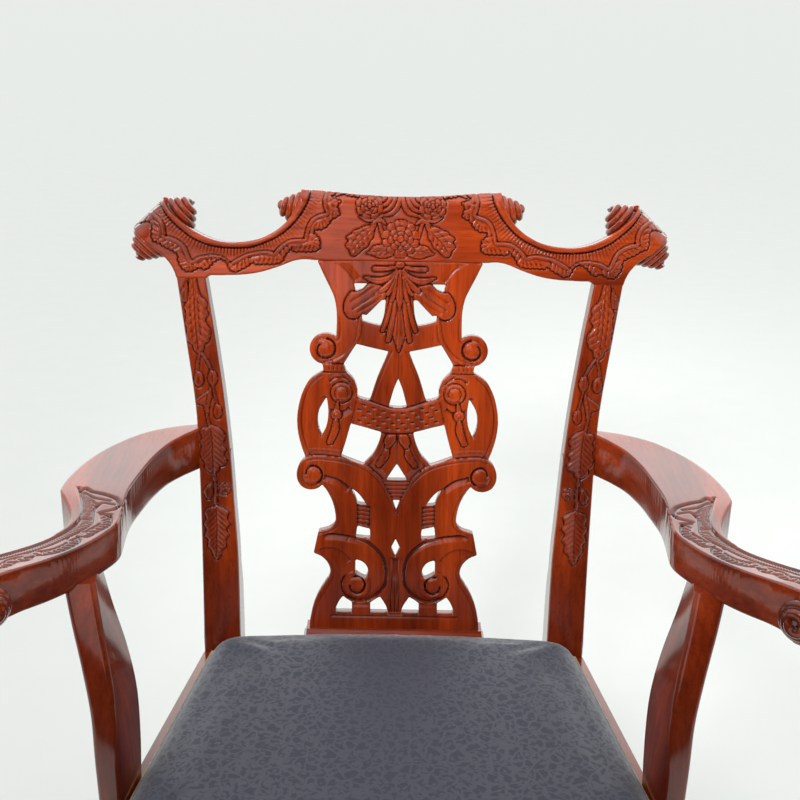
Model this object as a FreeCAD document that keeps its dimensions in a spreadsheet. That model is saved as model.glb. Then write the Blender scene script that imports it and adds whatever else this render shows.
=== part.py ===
import FreeCAD, Part
import math
import os

# Carved mahogany armchair, Georgian pattern: pierced splat, eared crest rail, serpentine arms,
# drop-in seat, cabriole front legs. Millimetres, +Z up, the sitter faces -Y, floor at z = 0.
# The back lies in one raked plane. Points in that plane are (x, s): s runs up the plane from
# back_root_z, and the front faces of crest, splat and stiles lie on it.

Vector = FreeCAD.Vector
Placement = FreeCAD.Placement
Rotation = FreeCAD.Rotation

doc = FreeCAD.newDocument("carved_armchair")

DIMENSIONS = {
    # the back
    "back_root_y": 162.47, "back_root_z": 490.0, "rake_deg": 10.0,
    "crest_thick": 26.0, "crest_roll_radius": 17.0, "crest_roll_half": 110.0, "crest_roll_s": 495.0,
    "crest_whorl_radius": 17.5, "crest_whorl_long": 25.0,
    "ear_roll_radius": 24.0, "ear_roll_long": 44.0,
    "ear_upper_whorl_long": 22.0, "ear_lower_whorl_long": 28.0,
    "splat_thick": 15.0, "splat_top_s": 436.0, "splat_tenon_half": 80.0,
    "post_top_s": 414.0, "post_tenon_wide": 18.0, "shoe_half_wide": 108.0,
    "tenon_thick": 8.0, "tenon_long": 14.0, "tenon_lap": 6.0,
    # seat frame
    "rail_top": 462.0, "rail_bottom": 394.0, "rail_thick": 26.0,
    "rear_half_wide": 224.0, "front_half_wide": 286.0, "frame_deep": 430.0,
    "ledge_z": 448.0, "lip_wide": 8.6, "leg_block": 46.0,
    "post_front_y": -2.0, "shoe_front_y": -7.0, "knee_bracket_thick": 22.0,
    "front_corner_block_high": 36.0, "rear_corner_block_high": 24.0,
    "rail_tenon_high": 44.0, "rail_tenon_low": 12.0, "rail_tenon_thick": 9.0, "rear_tenon_thick": 8.0,
    "cleat_deep": 18.0, "cleat_bottom": 426.0,
    # fixings
    "block_screw_radius": 2.0, "lap_screw_radius": 2.2, "arm_screw_radius": 2.5,
    "lap_screw_long": 36.0, "arm_screw_long": 50.0,
    "plug_radius": 6.0, "plug_long": 8.0, "dowel_radius": 5.0, "dowel_long": 44.0,
    # arms
    "arm_blank_z": 660.0, "arm_blank_high": 75.0, "arm_roll_radius": 24.0, "arm_roll_long": 50.0,
    "arm_inner_whorl_long": 20.0, "arm_outer_whorl_long": 16.0,
    # legs
    "ball_radius": 33.0, "ball_centre_z": 29.0,
    # drop-in seat
    "slip_gap": 1.0, "ledge_gap": 0.3, "slip_frame_thick": 20.0, "slip_frame_wide": 55.0,
    "web_thick": 1.2, "web_wide": 50.0, "web_margin": 12.0, "foam_crown_z": 508.0, "cover_thick": 1.4,
    "dust_sheet_thick": 0.8,
}

sheet = doc.addObject("Spreadsheet::Sheet", "dims")
for row, (alias, value) in enumerate(DIMENSIONS.items(), start=1):
    sheet.set("A%d" % row, alias)
    sheet.set("B%d" % row, str(value))
    sheet.setAlias("B%d" % row, alias)
doc.recompute()


def dim(alias):
    """A driving dimension as the sheet holds it."""
    return float(sheet.get(alias))


ROOT = Vector(0, dim("back_root_y"), 0)
RAKE = math.radians(dim("rake_deg"))
SIDE_SLOPE = (dim("front_half_wide") - dim("rear_half_wide")) / dim("frame_deep")
BACK_PLANE = Placement(
    Vector(0, dim("back_root_y"), dim("back_root_z")),
    Rotation(Vector(1, 0, 0), 90 - dim("rake_deg")),
)
FRONT_PLANE = Rotation(Vector(1, 0, 0), 90)
SIDE_PLANE = Rotation(Vector(1, 1, 1), 120)
nodes = {}


def back_z(s):
    """World height of a point s up the back plane."""
    return dim("back_root_z") + s * math.cos(RAKE)


def back_y(s):
    """Depth behind back_root_y of a point s up the back plane."""
    return s * math.sin(RAKE)


def rail_outer_x(y):
    """The side rail's outer face at depth y."""
    return dim("rear_half_wide") - SIDE_SLOPE * y


# ---------------------------------------------------------------- helpers

def closed(points):
    """Straight runs round a closed polygon."""
    return [[a, b] for a, b in zip(points, points[1:] + points[:1])]


def mirrored(runs):
    """The same runs on the other side of x = 0."""
    return [[(-x, s) for x, s in run] for run in runs]


def full_width(half):
    """A half outline from top centre to bottom centre, closed by its mirror."""
    back = [[(-x, s) for x, s in reversed(run)] for run in reversed(half)]
    return half + back


def draw(sketch, runs):
    """Adds each run to a sketch: two points are a line, more are a smooth curve."""
    for run in runs:
        points = [Vector(x, y, 0) for x, y in run]
        if len(points) == 2:
            sketch.addGeometry(Part.LineSegment(points[0], points[1]), False)
        else:
            curve = Part.BSplineCurve()
            curve.interpolate(points)
            sketch.addGeometry(curve, False)


def board(name, runs, thick, place, holes=()):
    """A body sawn from a board: an outline with holes, padded by the sheet's cell thick."""
    body = doc.addObject("PartDesign::Body", name)
    sketch = body.newObject("Sketcher::SketchObject", name + "_outline")
    plane = [f for f in body.Origin.OriginFeatures if f.Role == "XY_Plane"][0]
    sketch.AttachmentSupport = [(plane, "")]
    sketch.MapMode = "FlatFace"
    draw(sketch, runs)
    for hole in holes:
        draw(sketch, hole)
    pad = body.newObject("PartDesign::Pad", name + "_pad")
    pad.Profile = sketch
    pad.setExpression("Length", thick)
    body.Placement = place
    return body


def box(name, corner, size, place=None):
    """A Part box. Each size is a number or an expression on the sheet."""
    made = doc.addObject("Part::Box", name)
    for prop, value in zip(("Length", "Width", "Height"), size):
        if isinstance(value, str):
            made.setExpression(prop, value)
        else:
            setattr(made, prop, value)
    made.Placement = (place or Placement()).multiply(Placement(Vector(*corner), Rotation()))
    return made


def rod(name, radius, length, start, direction):
    """A round bar from start along direction."""
    made = doc.addObject("Part::Cylinder", name)
    for prop, value in (("Radius", radius), ("Height", length)):
        if isinstance(value, str):
            made.setExpression(prop, value)
        else:
            setattr(made, prop, value)
    made.Placement = Placement(start, Rotation(Vector(0, 0, 1), direction))
    return made


def fuse(name, shapes):
    made = doc.addObject("Part::MultiFuse", name)
    made.Shapes = shapes
    return made


def cut(name, base, tools):
    tool = tools[0] if len(tools) == 1 else fuse(name + "_tools", tools)
    made = doc.addObject("Part::Cut", name)
    made.Base = base
    made.Tool = tool
    return made


def common(name, one, other):
    made = doc.addObject("Part::Common", name)
    made.Base = one
    made.Tool = other
    return made


def mirror(name, source):
    """The left-hand piece, from the right-hand one."""
    made = doc.addObject("Part::Mirroring", name)
    made.Source = source
    made.Normal = Vector(1, 0, 0)
    made.Base = Vector(0, 0, 0)
    return made


def extrusion(name, runs, place, direction, long):
    """A solid swept straight from closed runs sketched on a placed plane."""
    sketch = doc.addObject("Sketcher::SketchObject", name + "_profile")
    draw(sketch, runs)
    sketch.Placement = place
    made = doc.addObject("Part::Extrusion", name)
    made.Base = sketch
    made.DirMode = "Custom"
    made.Dir = direction
    made.LengthFwd = long
    made.Solid = True
    return made


def feature(name, shape):
    made = doc.addObject("Part::Feature", name)
    made.Shape = shape
    return made


def keep(name, made):
    """Records a finished sub-part under its node name."""
    made.Label = name
    nodes[name] = made
    return made


def keep_pair(name, right):
    """The right-hand sub-part, and its mirror image on the left."""
    keep("right_" + name, right)
    return right, keep("left_" + name, mirror("left_" + name, right))


def rounded_section(centre, half_x, half_y, radius, turn_deg):
    """A horizontal rounded rectangle, turned about Z."""
    hx, hy, r = half_x, half_y, radius
    bend = r * (1 - math.sqrt(0.5))
    edges = []
    for sx, sy in ((1, 1), (-1, 1), (-1, -1), (1, -1)):
        a = Vector(sx * hx, sy * (hy - r), 0)
        b = Vector(sx * (hx - r), sy * hy, 0)
        mid = Vector(sx * (hx - bend), sy * (hy - bend), 0)
        corner = (a, mid, b) if sx * sy > 0 else (b, mid, a)
        if edges:
            edges.append(Part.LineSegment(edges[-1].EndPoint, corner[0]))
        edges.append(Part.Arc(*corner))
    edges.append(Part.LineSegment(edges[-1].EndPoint, edges[0].StartPoint))
    wire = Part.Wire([edge.toShape() for edge in edges])
    wire.Placement = Placement(centre, Rotation(Vector(0, 0, 1), turn_deg))
    return wire


# ---------------------------------------------------------------- fixings

OUTWARD = Vector(1, SIDE_SLOPE, 0).normalize()  # square to the right-hand side rail
BLOCK_SCREWS = [  # the head's x, its y from the back's root, its height, direction and length
    (196, -381, 418, Vector(0, -1, 0), 33), (222, -352, 418, OUTWARD, 42),
    (160, -31, 411, Vector(0, 1, 0), 44), (171, -40, 411, OUTWARD, 46),
]
LAP_SCREW_HEIGHTS = (418, 438)
PLUG_FACE = Vector(191, 46, 697)  # on the back post's inner side, level with the arm
DOWEL_FOOT = Vector(300, -208, 650)  # in the top of the arm support


def screw(name, start, direction, long, radius):
    """A countersunk wood screw: head, shank and point."""
    head = doc.addObject("Part::Cone", name + "_head")
    head.Radius1 = radius * 2
    head.Radius2 = radius
    head.Height = radius * 1.2
    head.Placement = Placement(start, Rotation(Vector(0, 0, 1), direction))
    point = 3 * radius
    shank = rod(name + "_shank", radius, long - point, start, direction)
    tip = doc.addObject("Part::Cone", name + "_tip")
    tip.Radius1 = radius
    tip.Radius2 = 0.3
    tip.Height = point
    tip.Placement = Placement(start + direction * (long - point), Rotation(Vector(0, 0, 1), direction))
    return fuse(name, [head, shank, tip])


def keep_group(name, rights):
    """Identical fixings of both sides in one node. Returns the right-hand ones, then the left."""
    lefts = [mirror("%s_left_%d" % (name, i), right) for i, right in enumerate(rights)]
    made = doc.addObject("Part::Compound", name)
    made.Links = rights + lefts
    keep(name, made)
    return rights, lefts


def make_fixings():
    """Screws, plugs and dowels. Each is also the tool that bores its own hole."""
    blocks = []
    for i, (x, y, z, direction, long) in enumerate(BLOCK_SCREWS):
        head = ROOT + Vector(x, y, z)
        blocks.append(screw("block_screw_%d" % i, head, direction, long, dim("block_screw_radius")))
    y = SUPPORT_PATH[0][2]
    inside = ROOT + Vector(rail_outer_x(y), y, 0) - OUTWARD * (dim("rail_thick") + 0.2)
    laps = []
    for i, z in enumerate(LAP_SCREW_HEIGHTS):
        laps.append(screw("support_screw_%d" % i, inside + Vector(0, 0, z), OUTWARD,
                          dim("lap_screw_long"), dim("lap_screw_radius")))
    across = Vector(1, 0, 0)
    bore = ROOT + PLUG_FACE
    plug = rod("arm_plug", "dims.plug_radius", "dims.plug_long", bore, across)
    arm_screw = screw("arm_screw", bore + across * dim("plug_long"), across,
                      dim("arm_screw_long"), dim("arm_screw_radius"))
    dowel = rod("arm_dowel", "dims.dowel_radius", "dims.dowel_long", ROOT + DOWEL_FOOT, Vector(0, 0, 1))
    return {
        "blocks": keep_group("corner_block_screws", blocks),
        "laps": keep_group("arm_support_screws", laps),
        "arm": keep_group("arm_screws", [arm_screw]),
        "plug": keep_group("arm_screw_plugs", [plug]),
        "dowel": keep_group("arm_support_dowels", [dowel]),
    }


# ---------------------------------------------------------------- splat

SPLAT_HALF = [
    [(0, 436), (93, 436)],
    [(93, 436), (86, 421), (79, 407), (74, 396), (71.3, 384), (70.5, 370), (71, 349.5)],
    [(71, 349.5), (76.5, 352.8), (83.5, 354), (92.3, 351.7), (98.7, 345.3), (101, 336.5),
     (98.7, 327.7), (92.5, 321.3), (86, 319)],
    [(86, 319), (85, 311.5)],
    [(85, 311.5), (100, 301.5), (108.5, 287), (113.3, 270), (115, 254), (113.5, 238),
     (110, 224), (105, 209.5)],
    [(105, 209.5), (111.5, 203.5), (115, 194), (114.5, 184), (109.5, 176), (101, 172.3),
     (92, 173.5), (85.5, 178.2)],
    [(85.5, 178.2), (79.5, 170), (74, 159), (70.8, 147), (70, 136), (73, 129.5),
     (79, 125.5), (90, 122.3)],
    [(90, 122.3), (95.3, 96.5)],
    [(95.3, 96.5), (86.5, 92.5), (79.5, 86), (75.8, 77), (77, 68), (82, 59.5), (89, 48),
     (94.5, 35), (98, 21), (99.5, 8), (100, -10)],
    [(100, -10), (0, -10)],
]
SPLAT_CENTRE_HOLES = [
    [[(0, 303.5), (5, 291), (10.5, 270.8)], [(10.5, 270.8), (0, 269.8), (-10.5, 270.8)],
     [(-10.5, 270.8), (-5, 291), (0, 303.5)]],
    closed([(0, 204.5), (12.5, 185), (-12.5, 185)]),
    closed([(4.5, 161), (0, 147), (-4.5, 161)]),
    closed([(0, 115), (5.5, 103.5), (0, 91.5), (-5.5, 103.5)]),
]
SPLAT_SIDE_HOLES = [
    closed([(36, 411), (51.5, 411), (50, 402), (42, 405)]),
    [[(15.5, 393), (20, 393)], [(20, 393), (29, 383.5), (37, 375.5)],
     [(37, 375.5), (42.5, 376)], [(42.5, 376), (42, 368.8)],
     [(42, 368.8), (32, 366), (21, 363.7)], [(21, 363.7), (17.5, 375), (15.5, 393)]],
    [[(48, 342.5), (30, 338.3), (11.5, 334.5)], [(11.5, 334.5), (16, 323), (24, 303.5), (32, 278)],
     [(32, 278), (39, 279.3), (46.2, 281.5)], [(46.2, 281.5), (46.8, 292), (51, 301.5), (59.5, 310.8)],
     [(59.5, 310.8), (62.5, 319)], [(62.5, 319), (56.5, 329), (48, 342.5)]],
    [[(81, 281.5), (89, 268), (91.7, 255), (90, 243.5), (86.8, 235)],
     [(86.8, 235), (81.5, 247), (79.3, 262), (81, 281.5)]],
    [[(53.5, 250.5), (38, 246.5), (18, 241)], [(18, 241), (21, 229), (27, 215.5), (38.5, 202.3)],
     [(38.5, 202.3), (50, 206.5), (64.5, 212)], [(64.5, 212), (59.5, 228), (53.5, 250.5)]],
    [[(52.5, 175), (45, 169.5), (39, 162.5), (34, 154.5)], [(34, 154.5), (45, 155.8)],
     [(45, 155.8), (48, 165), (52.5, 175)]],
    closed([(30, 126.5), (44.5, 130), (46.5, 115.8), (29.5, 114.5)]),
    [[(46.5, 89.5), (38.5, 86.8), (33, 81), (31.5, 74), (34.5, 66)],
     [(34.5, 66), (41, 69), (46.5, 72.5)], [(46.5, 72.5), (46.5, 89.5)]],
    [[(7.5, 24), (10, 33), (17, 44.2)], [(17, 44.2), (22, 41.5), (28.5, 37)],
     [(28.5, 37), (28.5, 24)], [(28.5, 24), (7.5, 24)]],
    [[(50, 37.5), (56, 41), (60.5, 44.5)], [(60.5, 44.5), (65, 38.5), (69, 30)],
     [(69, 30), (69, 24)], [(69, 24), (50, 24)], [(50, 24), (50, 37.5)]],
]


def make_splat():
    """The pierced splat, with a tenon that enters the crest."""
    holes = SPLAT_CENTRE_HOLES + SPLAT_SIDE_HOLES + [mirrored(h) for h in SPLAT_SIDE_HOLES]
    behind = BACK_PLANE.multiply(Placement(Vector(0, 0, -dim("splat_thick")), Rotation()))
    panel = board("splat_panel", full_width(SPLAT_HALF), "dims.splat_thick", behind, holes)
    foot = dim("splat_top_s") - dim("tenon_lap")
    middle = -(dim("splat_thick") + dim("tenon_thick")) / 2
    tenon = box("splat_tenon", (-dim("splat_tenon_half"), foot, middle),
                ("2 * dims.splat_tenon_half", "dims.tenon_lap + dims.tenon_long", "dims.tenon_thick"),
                BACK_PLANE)
    return keep("splat", fuse("splat_solid", [panel, tenon]))


# ---------------------------------------------------------------- crest rail

CREST_HALF = [
    [(0, 507), (20, 507.3), (50, 509), (75, 511.5), (100, 514)],
    [(100, 514), (107, 504), (113, 494.5), (120, 485), (128, 477), (140, 467.5), (155, 459.7),
     (170, 455.8), (186, 454.3), (200, 455), (215, 459), (230, 466.2), (243, 475)],
    [(243, 475), (262, 492)],
    [(262, 492), (290, 463)],
    [(290, 463), (278, 447), (266, 438.5), (258, 430), (253, 421), (251, 414)],
    [(251, 414), (217, 414)],
    [(217, 414), (213, 417), (200, 417.3), (175, 418.6), (155, 422), (135, 428.5), (120, 434.5),
     (108, 436.7), (97, 436)],
    [(97, 436), (0, 436)],
]
EAR_CENTRE = (266.0, 469.0)  # middle of the rolled ear, in the back plane
EAR_AXIS = (-0.72, 0.69)  # towards the inner, upper end of the roll
CREST_WHORL_AXIS = (0.995, 0.1)


def back_point(x, s, n):
    """A world point n in front of the back plane."""
    return BACK_PLANE.multVec(Vector(x, s, n))


def back_direction(x, s, n=0.0):
    return BACK_PLANE.Rotation.multVec(Vector(x, s, n))


def make_crest(splat, post_tenons):
    """One plank with a rolled-back top edge and a rolled ear at each end."""
    thick = dim("crest_thick")
    behind = BACK_PLANE.multiply(Placement(Vector(0, 0, -thick), Rotation()))
    plank = board("crest_plank", full_width(CREST_HALF), "dims.crest_thick", behind)
    roll_n = -dim("crest_roll_radius")
    half = dim("crest_roll_half")
    top_roll = rod("crest_top_roll", "dims.crest_roll_radius", "2 * dims.crest_roll_half",
                   back_point(-half, dim("crest_roll_s"), roll_n), back_direction(1, 0))
    ears = []
    for side in (1, -1):
        along = back_direction(side * EAR_AXIS[0], EAR_AXIS[1])
        centre = back_point(side * EAR_CENTRE[0], EAR_CENTRE[1], 1 - dim("ear_roll_radius"))
        ears.append(rod("ear_roll_%d" % (side + 1), "dims.ear_roll_radius", "dims.ear_roll_long",
                        centre - along * (dim("ear_roll_long") / 2), along))
    blank = fuse("crest_blank", [plank, top_roll] + ears)
    return keep("crest_rail", cut("crest_solid", blank, [splat] + post_tenons))


# ---------------------------------------------------------------- whorls

WHORL_RINGS = 4
WHORL_TAPER = 0.7  # share of the base radius lost by the last ring
RING_STRAIGHT = 0.75  # share of a ring's height that is straight, below its chamfer
RING_CHAMFER = 0.8  # share of the step to the next ring that the chamfer covers


def whorl(name, base_radius, long, start, direction):
    """A stepped spiral boss, turned from one billet and glued to the end of a roll."""
    profile = [(0.0, 0.0), (base_radius, 0.0)]
    step = long / WHORL_RINGS
    shrink = base_radius * WHORL_TAPER / (WHORL_RINGS - 1)
    for i in range(WHORL_RINGS):
        radius = base_radius - i * shrink
        profile.append((radius, (i + RING_STRAIGHT) * step))
        profile.append((radius - shrink * RING_CHAMFER, (i + 1) * step))
    profile.append((0.0, long))
    sketch = doc.addObject("Sketcher::SketchObject", name + "_profile")
    draw(sketch, closed(profile))
    turned = doc.addObject("Part::Revolution", name)
    turned.Source = sketch
    turned.Axis = Vector(0, 1, 0)
    turned.Base = Vector(0, 0, 0)
    turned.Angle = 360
    turned.Solid = True
    turned.Placement = Placement(start, Rotation(Vector(0, 1, 0), direction))
    return turned


def make_back_whorls(crest):
    """Two whorls on each ear, and one on each shoulder of the crest."""
    radius = dim("ear_roll_radius")
    centre = back_point(EAR_CENTRE[0], EAR_CENTRE[1], 1 - radius)
    for label, sign in (("upper", 1), ("lower", -1)):
        name = "ear_%s_whorl" % label
        along = back_direction(sign * EAR_AXIS[0], sign * EAR_AXIS[1])
        start = centre + along * (dim("ear_roll_long") / 2)
        boss = whorl(name + "_boss", radius - 0.5, dim(name + "_long"), start, along)
        keep_pair(name, cut(name + "_solid", boss, [crest]))
    start = back_point(dim("crest_roll_half"), dim("crest_roll_s"), -dim("crest_roll_radius"))
    boss = whorl("crest_whorl_boss", dim("crest_whorl_radius"), dim("crest_whorl_long"), start,
                 back_direction(*CREST_WHORL_AXIS))
    keep_pair("crest_whorl", cut("crest_whorl_solid", boss, [crest]))


# ---------------------------------------------------------------- back posts

POST_FRONT = [
    [(250.7, 417), (246.2, 385), (241.5, 350), (236, 311), (232, 280), (229.3, 250), (227.5, 205),
     (226, 150), (225, 90), (224.2, 20), (224, -30)],
    [(224, -30), (224, -100)],
    [(224, -100), (223, -200), (222.5, -300), (222, -500)],
    [(222, -500), (189, -500)],
    [(189, -500), (188, -300), (184, -200), (181, -100)],
    [(181, -100), (181, -30)],
    [(181, -30), (181.5, 20), (183, 90), (187, 150), (190.7, 205), (195, 250), (199, 285),
     (202.5, 311), (208, 350), (213.5, 385), (218.5, 417)],
    [(218.5, 417), (250.7, 417)],
]


def make_posts(tools):
    """Stile and rear leg in one piece, sawn to a side profile and then to a front one."""
    top = dim("post_top_s")
    root_z = dim("back_root_z")
    front = dim("post_front_y")
    side = [
        [(back_y(top), back_z(top)), (0, root_z)],
        [(0, root_z), (front, 472)],
        [(front, 472), (front, dim("rail_bottom"))],
        [(front, dim("rail_bottom")), (4, 300), (20, 160), (46, 0)],
        [(46, 0), (82, 0)],
        [(82, 0), (58, 160), (46, 300), (44, dim("rail_bottom"))],
        [(44, dim("rail_bottom")), (44, 475)],
        [(44, 475), (46.5, 505), (48, 528), (46.5, 545), (43, 562)],
        [(43, 562), (back_y(top) + 25.5, back_z(top) - 4.5)],
        [(back_y(top) + 25.5, back_z(top) - 4.5), (back_y(top), back_z(top))],
    ]
    upright = Placement(Vector(150, dim("back_root_y"), 0), SIDE_PLANE)
    slab = extrusion("post_side", side, upright, Vector(1, 0, 0), 130)
    front_runs = [[(x, root_z + s * math.cos(RAKE) if s > 0 else root_z + s * 0.98) for x, s in run]
                  for run in POST_FRONT]
    before = Placement(Vector(0, dim("back_root_y") - 60, 0), FRONT_PLANE)
    face = extrusion("post_face", front_runs, before, Vector(0, 1, 0), 260)
    sawn = common("post_sawn", slab, face)
    tenon = box("post_tenon", (224, top - dim("tenon_lap"), -(dim("crest_thick") + dim("tenon_thick")) / 2),
                ("dims.post_tenon_wide", "dims.tenon_lap + dims.tenon_long", "dims.tenon_thick"),
                BACK_PLANE)
    blank = fuse("post_blank", [sawn, tenon])
    right = cut("post_solid", blank, tools)
    keep_pair("back_post", right)
    return right, [tenon, mirror("post_tenon_left", tenon)]


# ---------------------------------------------------------------- shoe

def make_shoe(splat):
    """The moulded block that holds the splat's foot, on the rear rail."""
    front = dim("shoe_front_y")
    z = dim("rail_top")
    side = [
        [(front, z), (front, z + 20)],
        [(front, z + 20), (front + 1, z + 26), (front + 4.5, z + 31), (front + 5.5, z + 33)],
        [(front + 5.5, z + 33), (19, z + 33)],
        [(19, z + 33), (21, z + 24), (26, z + 12)],
        [(26, z + 12), (26, z)],
        [(26, z), (front, z)],
    ]
    wide = dim("shoe_half_wide")
    end = Placement(Vector(-wide, dim("back_root_y"), 0), SIDE_PLANE)
    slab = extrusion("shoe_side", side, end, Vector(1, 0, 0), 2 * wide)
    half = [
        [(0, z + 33), (wide - 5, z + 33)],
        [(wide - 5, z + 33), (wide - 4.5, z + 27), (wide - 1, z + 18)],
        [(wide - 1, z + 18), (wide, z)],
        [(wide, z), (0, z)],
    ]
    before = Placement(Vector(0, dim("back_root_y") - 20, 0), FRONT_PLANE)
    face = extrusion("shoe_face", full_width(half), before, Vector(0, 1, 0), 60)
    keep("splat_shoe", cut("shoe_solid", common("shoe_blank", slab, face), [splat]))


# ---------------------------------------------------------------- seat rails

def seat_outline(inset, rear_y, front_y):
    """The drop-in seat's trapezoid, inset from the rails' outer faces."""
    rear = rail_outer_x(rear_y) - inset
    front = rail_outer_x(front_y) - inset
    return closed([(-rear, rear_y), (rear, rear_y), (front, front_y), (-front, front_y)])


def at_height(z):
    return Placement(Vector(0, dim("back_root_y"), z), Rotation())


SEAT_FRONT_Y = -417.4
SEAT_REAR_Y = -8.4
REAR_POST_INNER_X = 181.0


def make_rails(fixings):
    """Four rails tenoned into the posts and legs, rabbeted for the drop-in seat."""
    deep = dim("frame_deep")
    block = dim("leg_block")
    bottom = dim("rail_bottom")
    thick = dim("rail_thick")
    joint_y = block - deep
    front = dim("post_front_y")
    skew = thick * math.sqrt(1 + SIDE_SLOPE ** 2)
    tenon_z = bottom + dim("rail_tenon_low")
    recess = board("seat_recess", seat_outline(dim("lip_wide"), SEAT_REAR_Y + 2, SEAT_FRONT_Y - 1),
                   "dims.rail_top - dims.ledge_z + 5", at_height(dim("ledge_z")))

    side_runs = closed([(rail_outer_x(front), front), (rail_outer_x(joint_y), joint_y),
                        (rail_outer_x(joint_y) - skew, joint_y), (rail_outer_x(front) - skew, front)])
    side_blank = board("side_rail_board", side_runs, "dims.rail_top - dims.rail_bottom",
                       at_height(bottom))
    middle = skew / 2
    tenons = []
    for label, y, out in (("rear", front, 1), ("front", joint_y, -1)):
        x = rail_outer_x(y) - middle
        runs = closed([(x - 5, y - out * 4), (x + 5, y - out * 4),
                       (x + 5 - out * 3, y + out * 20), (x - 5 - out * 3, y + out * 20)])
        tenon = board("side_rail_%s_tenon" % label, runs, "dims.rail_tenon_high", at_height(tenon_z))
        tenons.append(tenon)
    side_full = fuse("side_rail_full", [side_blank] + tenons)
    blocks, left_blocks = fixings["blocks"]
    bores = [blocks[1], blocks[3]] + fixings["laps"][0]
    side = cut("side_rail_solid", side_full, [recess] + bores)
    keep_pair("side_rail", side)

    reach = dim("front_half_wide") - block
    front_rail = box("front_rail_board", (-reach, dim("back_root_y") + 4 - deep, bottom),
                     (2 * reach, "dims.rail_thick", "dims.rail_top - dims.rail_bottom"))
    front_tenon = box("front_rail_tenon", (-reach - 20, dim("back_root_y") + 13 - deep, tenon_z),
                      (2 * reach + 40, "dims.rail_tenon_thick", "dims.rail_tenon_high"))
    front_full = fuse("front_rail_full", [front_rail, front_tenon])
    keep("front_rail", cut("front_rail_solid", front_full, [recess, blocks[0], left_blocks[0]]))

    inner = REAR_POST_INNER_X
    rear_rail = box("rear_rail_board", (-inner, dim("back_root_y") + front, bottom),
                    (2 * inner, "dims.rail_thick", "dims.rail_top - dims.rail_bottom"))
    rear_tenon = box("rear_rail_tenon", (-inner - 18, dim("back_root_y") + front + 15, tenon_z),
                     (2 * inner + 36, "dims.rear_tenon_thick", "dims.rail_tenon_high"))
    rear_full = fuse("rear_rail_full", [rear_rail, rear_tenon])
    keep("rear_rail", cut("rear_rail_solid", rear_full, [blocks[2], left_blocks[2]]))
    cleat_y = dim("back_root_y") + front - dim("cleat_deep")
    keep("rear_seat_cleat", box("rear_cleat", (-150, cleat_y, dim("cleat_bottom")),
                                (300, "dims.cleat_deep", "dims.ledge_z - dims.cleat_bottom")))
    return side, recess, tenons, front_tenon, rear_tenon


# ---------------------------------------------------------------- front legs

LEG_SECTIONS = [  # height, throw along the diagonal, half side, corner radius
    (394, 0, 23, 3), (374, 7, 26.5, 8), (340, 10, 25, 11), (290, 6, 20.5, 11), (225, 1, 16.5, 11),
    (160, -1, 13.8, 10), (115, 2, 13, 10), (82, 7, 16, 12), (58, 10, 19, 14),
]
DIAGONAL = Vector(math.sqrt(0.5), -math.sqrt(0.5), 0)


def make_legs(recess, tools):
    """Cabriole leg with a ball foot, its square top morticed for the rails."""
    block = dim("leg_block")
    centre = ROOT + Vector(dim("front_half_wide") - block / 2, block / 2 - dim("frame_deep"), 0)
    wires = []
    for z, throw, half, radius in LEG_SECTIONS:
        at = centre + DIAGONAL * throw + Vector(0, 0, z)
        wires.append(rounded_section(at, half, half, radius, 0))
    shank = feature("leg_shank", Part.makeLoft(wires, True, False))
    head = box("leg_head", (centre.x - block / 2, centre.y - block / 2, dim("rail_bottom")),
               ("dims.leg_block", "dims.leg_block", "dims.rail_top - dims.rail_bottom"))
    ball = doc.addObject("Part::Sphere", "leg_ball")
    ball.setExpression("Radius", "dims.ball_radius")
    ball.Placement = Placement(centre + DIAGONAL * 14 + Vector(0, 0, dim("ball_centre_z")), Rotation())
    whole = fuse("leg_whole", [shank, head, ball])
    floor = box("leg_floor", (centre.x - 80, centre.y - 80, -40), (160, 160, 40))
    right = cut("leg_solid", whole, [floor, recess] + tools)
    keep_pair("front_leg", right)
    return right


def make_knee_brackets(leg):
    """Shaped wings glued under the rails, either side of each knee."""
    bottom = dim("rail_bottom")
    edge = dim("front_half_wide") - dim("leg_block")
    wing = [
        [(0, 0), (62, 0)],
        [(62, 0), (60, -5), (52, -7)],
        [(52, -7), (40, -10), (30, -19), (22, -33), (12, -41), (0, -46)],
        [(0, -46), (-8, -46)],
        [(-8, -46), (-8, 0)],
        [(-8, 0), (0, 0)],
    ]
    facing = [[(edge - x, bottom + z) for x, z in run] for run in wing]
    place = Placement(Vector(0, dim("back_root_y") - dim("frame_deep") + 5 + dim("knee_bracket_thick"), 0),
                      FRONT_PLANE)
    blank = board("front_bracket_board", facing, "dims.knee_bracket_thick", place)
    keep_pair("front_knee_bracket", cut("front_bracket_solid", blank, [leg]))
    joint_y = dim("leg_block") - dim("frame_deep")
    swing = math.degrees(math.atan(SIDE_SLOPE))
    outer = Vector(rail_outer_x(joint_y) - 2, joint_y, 0) + ROOT
    turned = Placement(outer, Rotation(Vector(0, 0, 1), swing).multiply(SIDE_PLANE))
    along = [[(x, bottom + z) for x, z in run] for run in wing]
    inward = turned.multiply(Placement(Vector(0, 0, -dim("knee_bracket_thick")), Rotation()))
    blank = board("side_bracket_board", along, "dims.knee_bracket_thick", inward)
    keep_pair("side_knee_bracket", cut("side_bracket_solid", blank, [leg]))


# ---------------------------------------------------------------- arms

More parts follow.
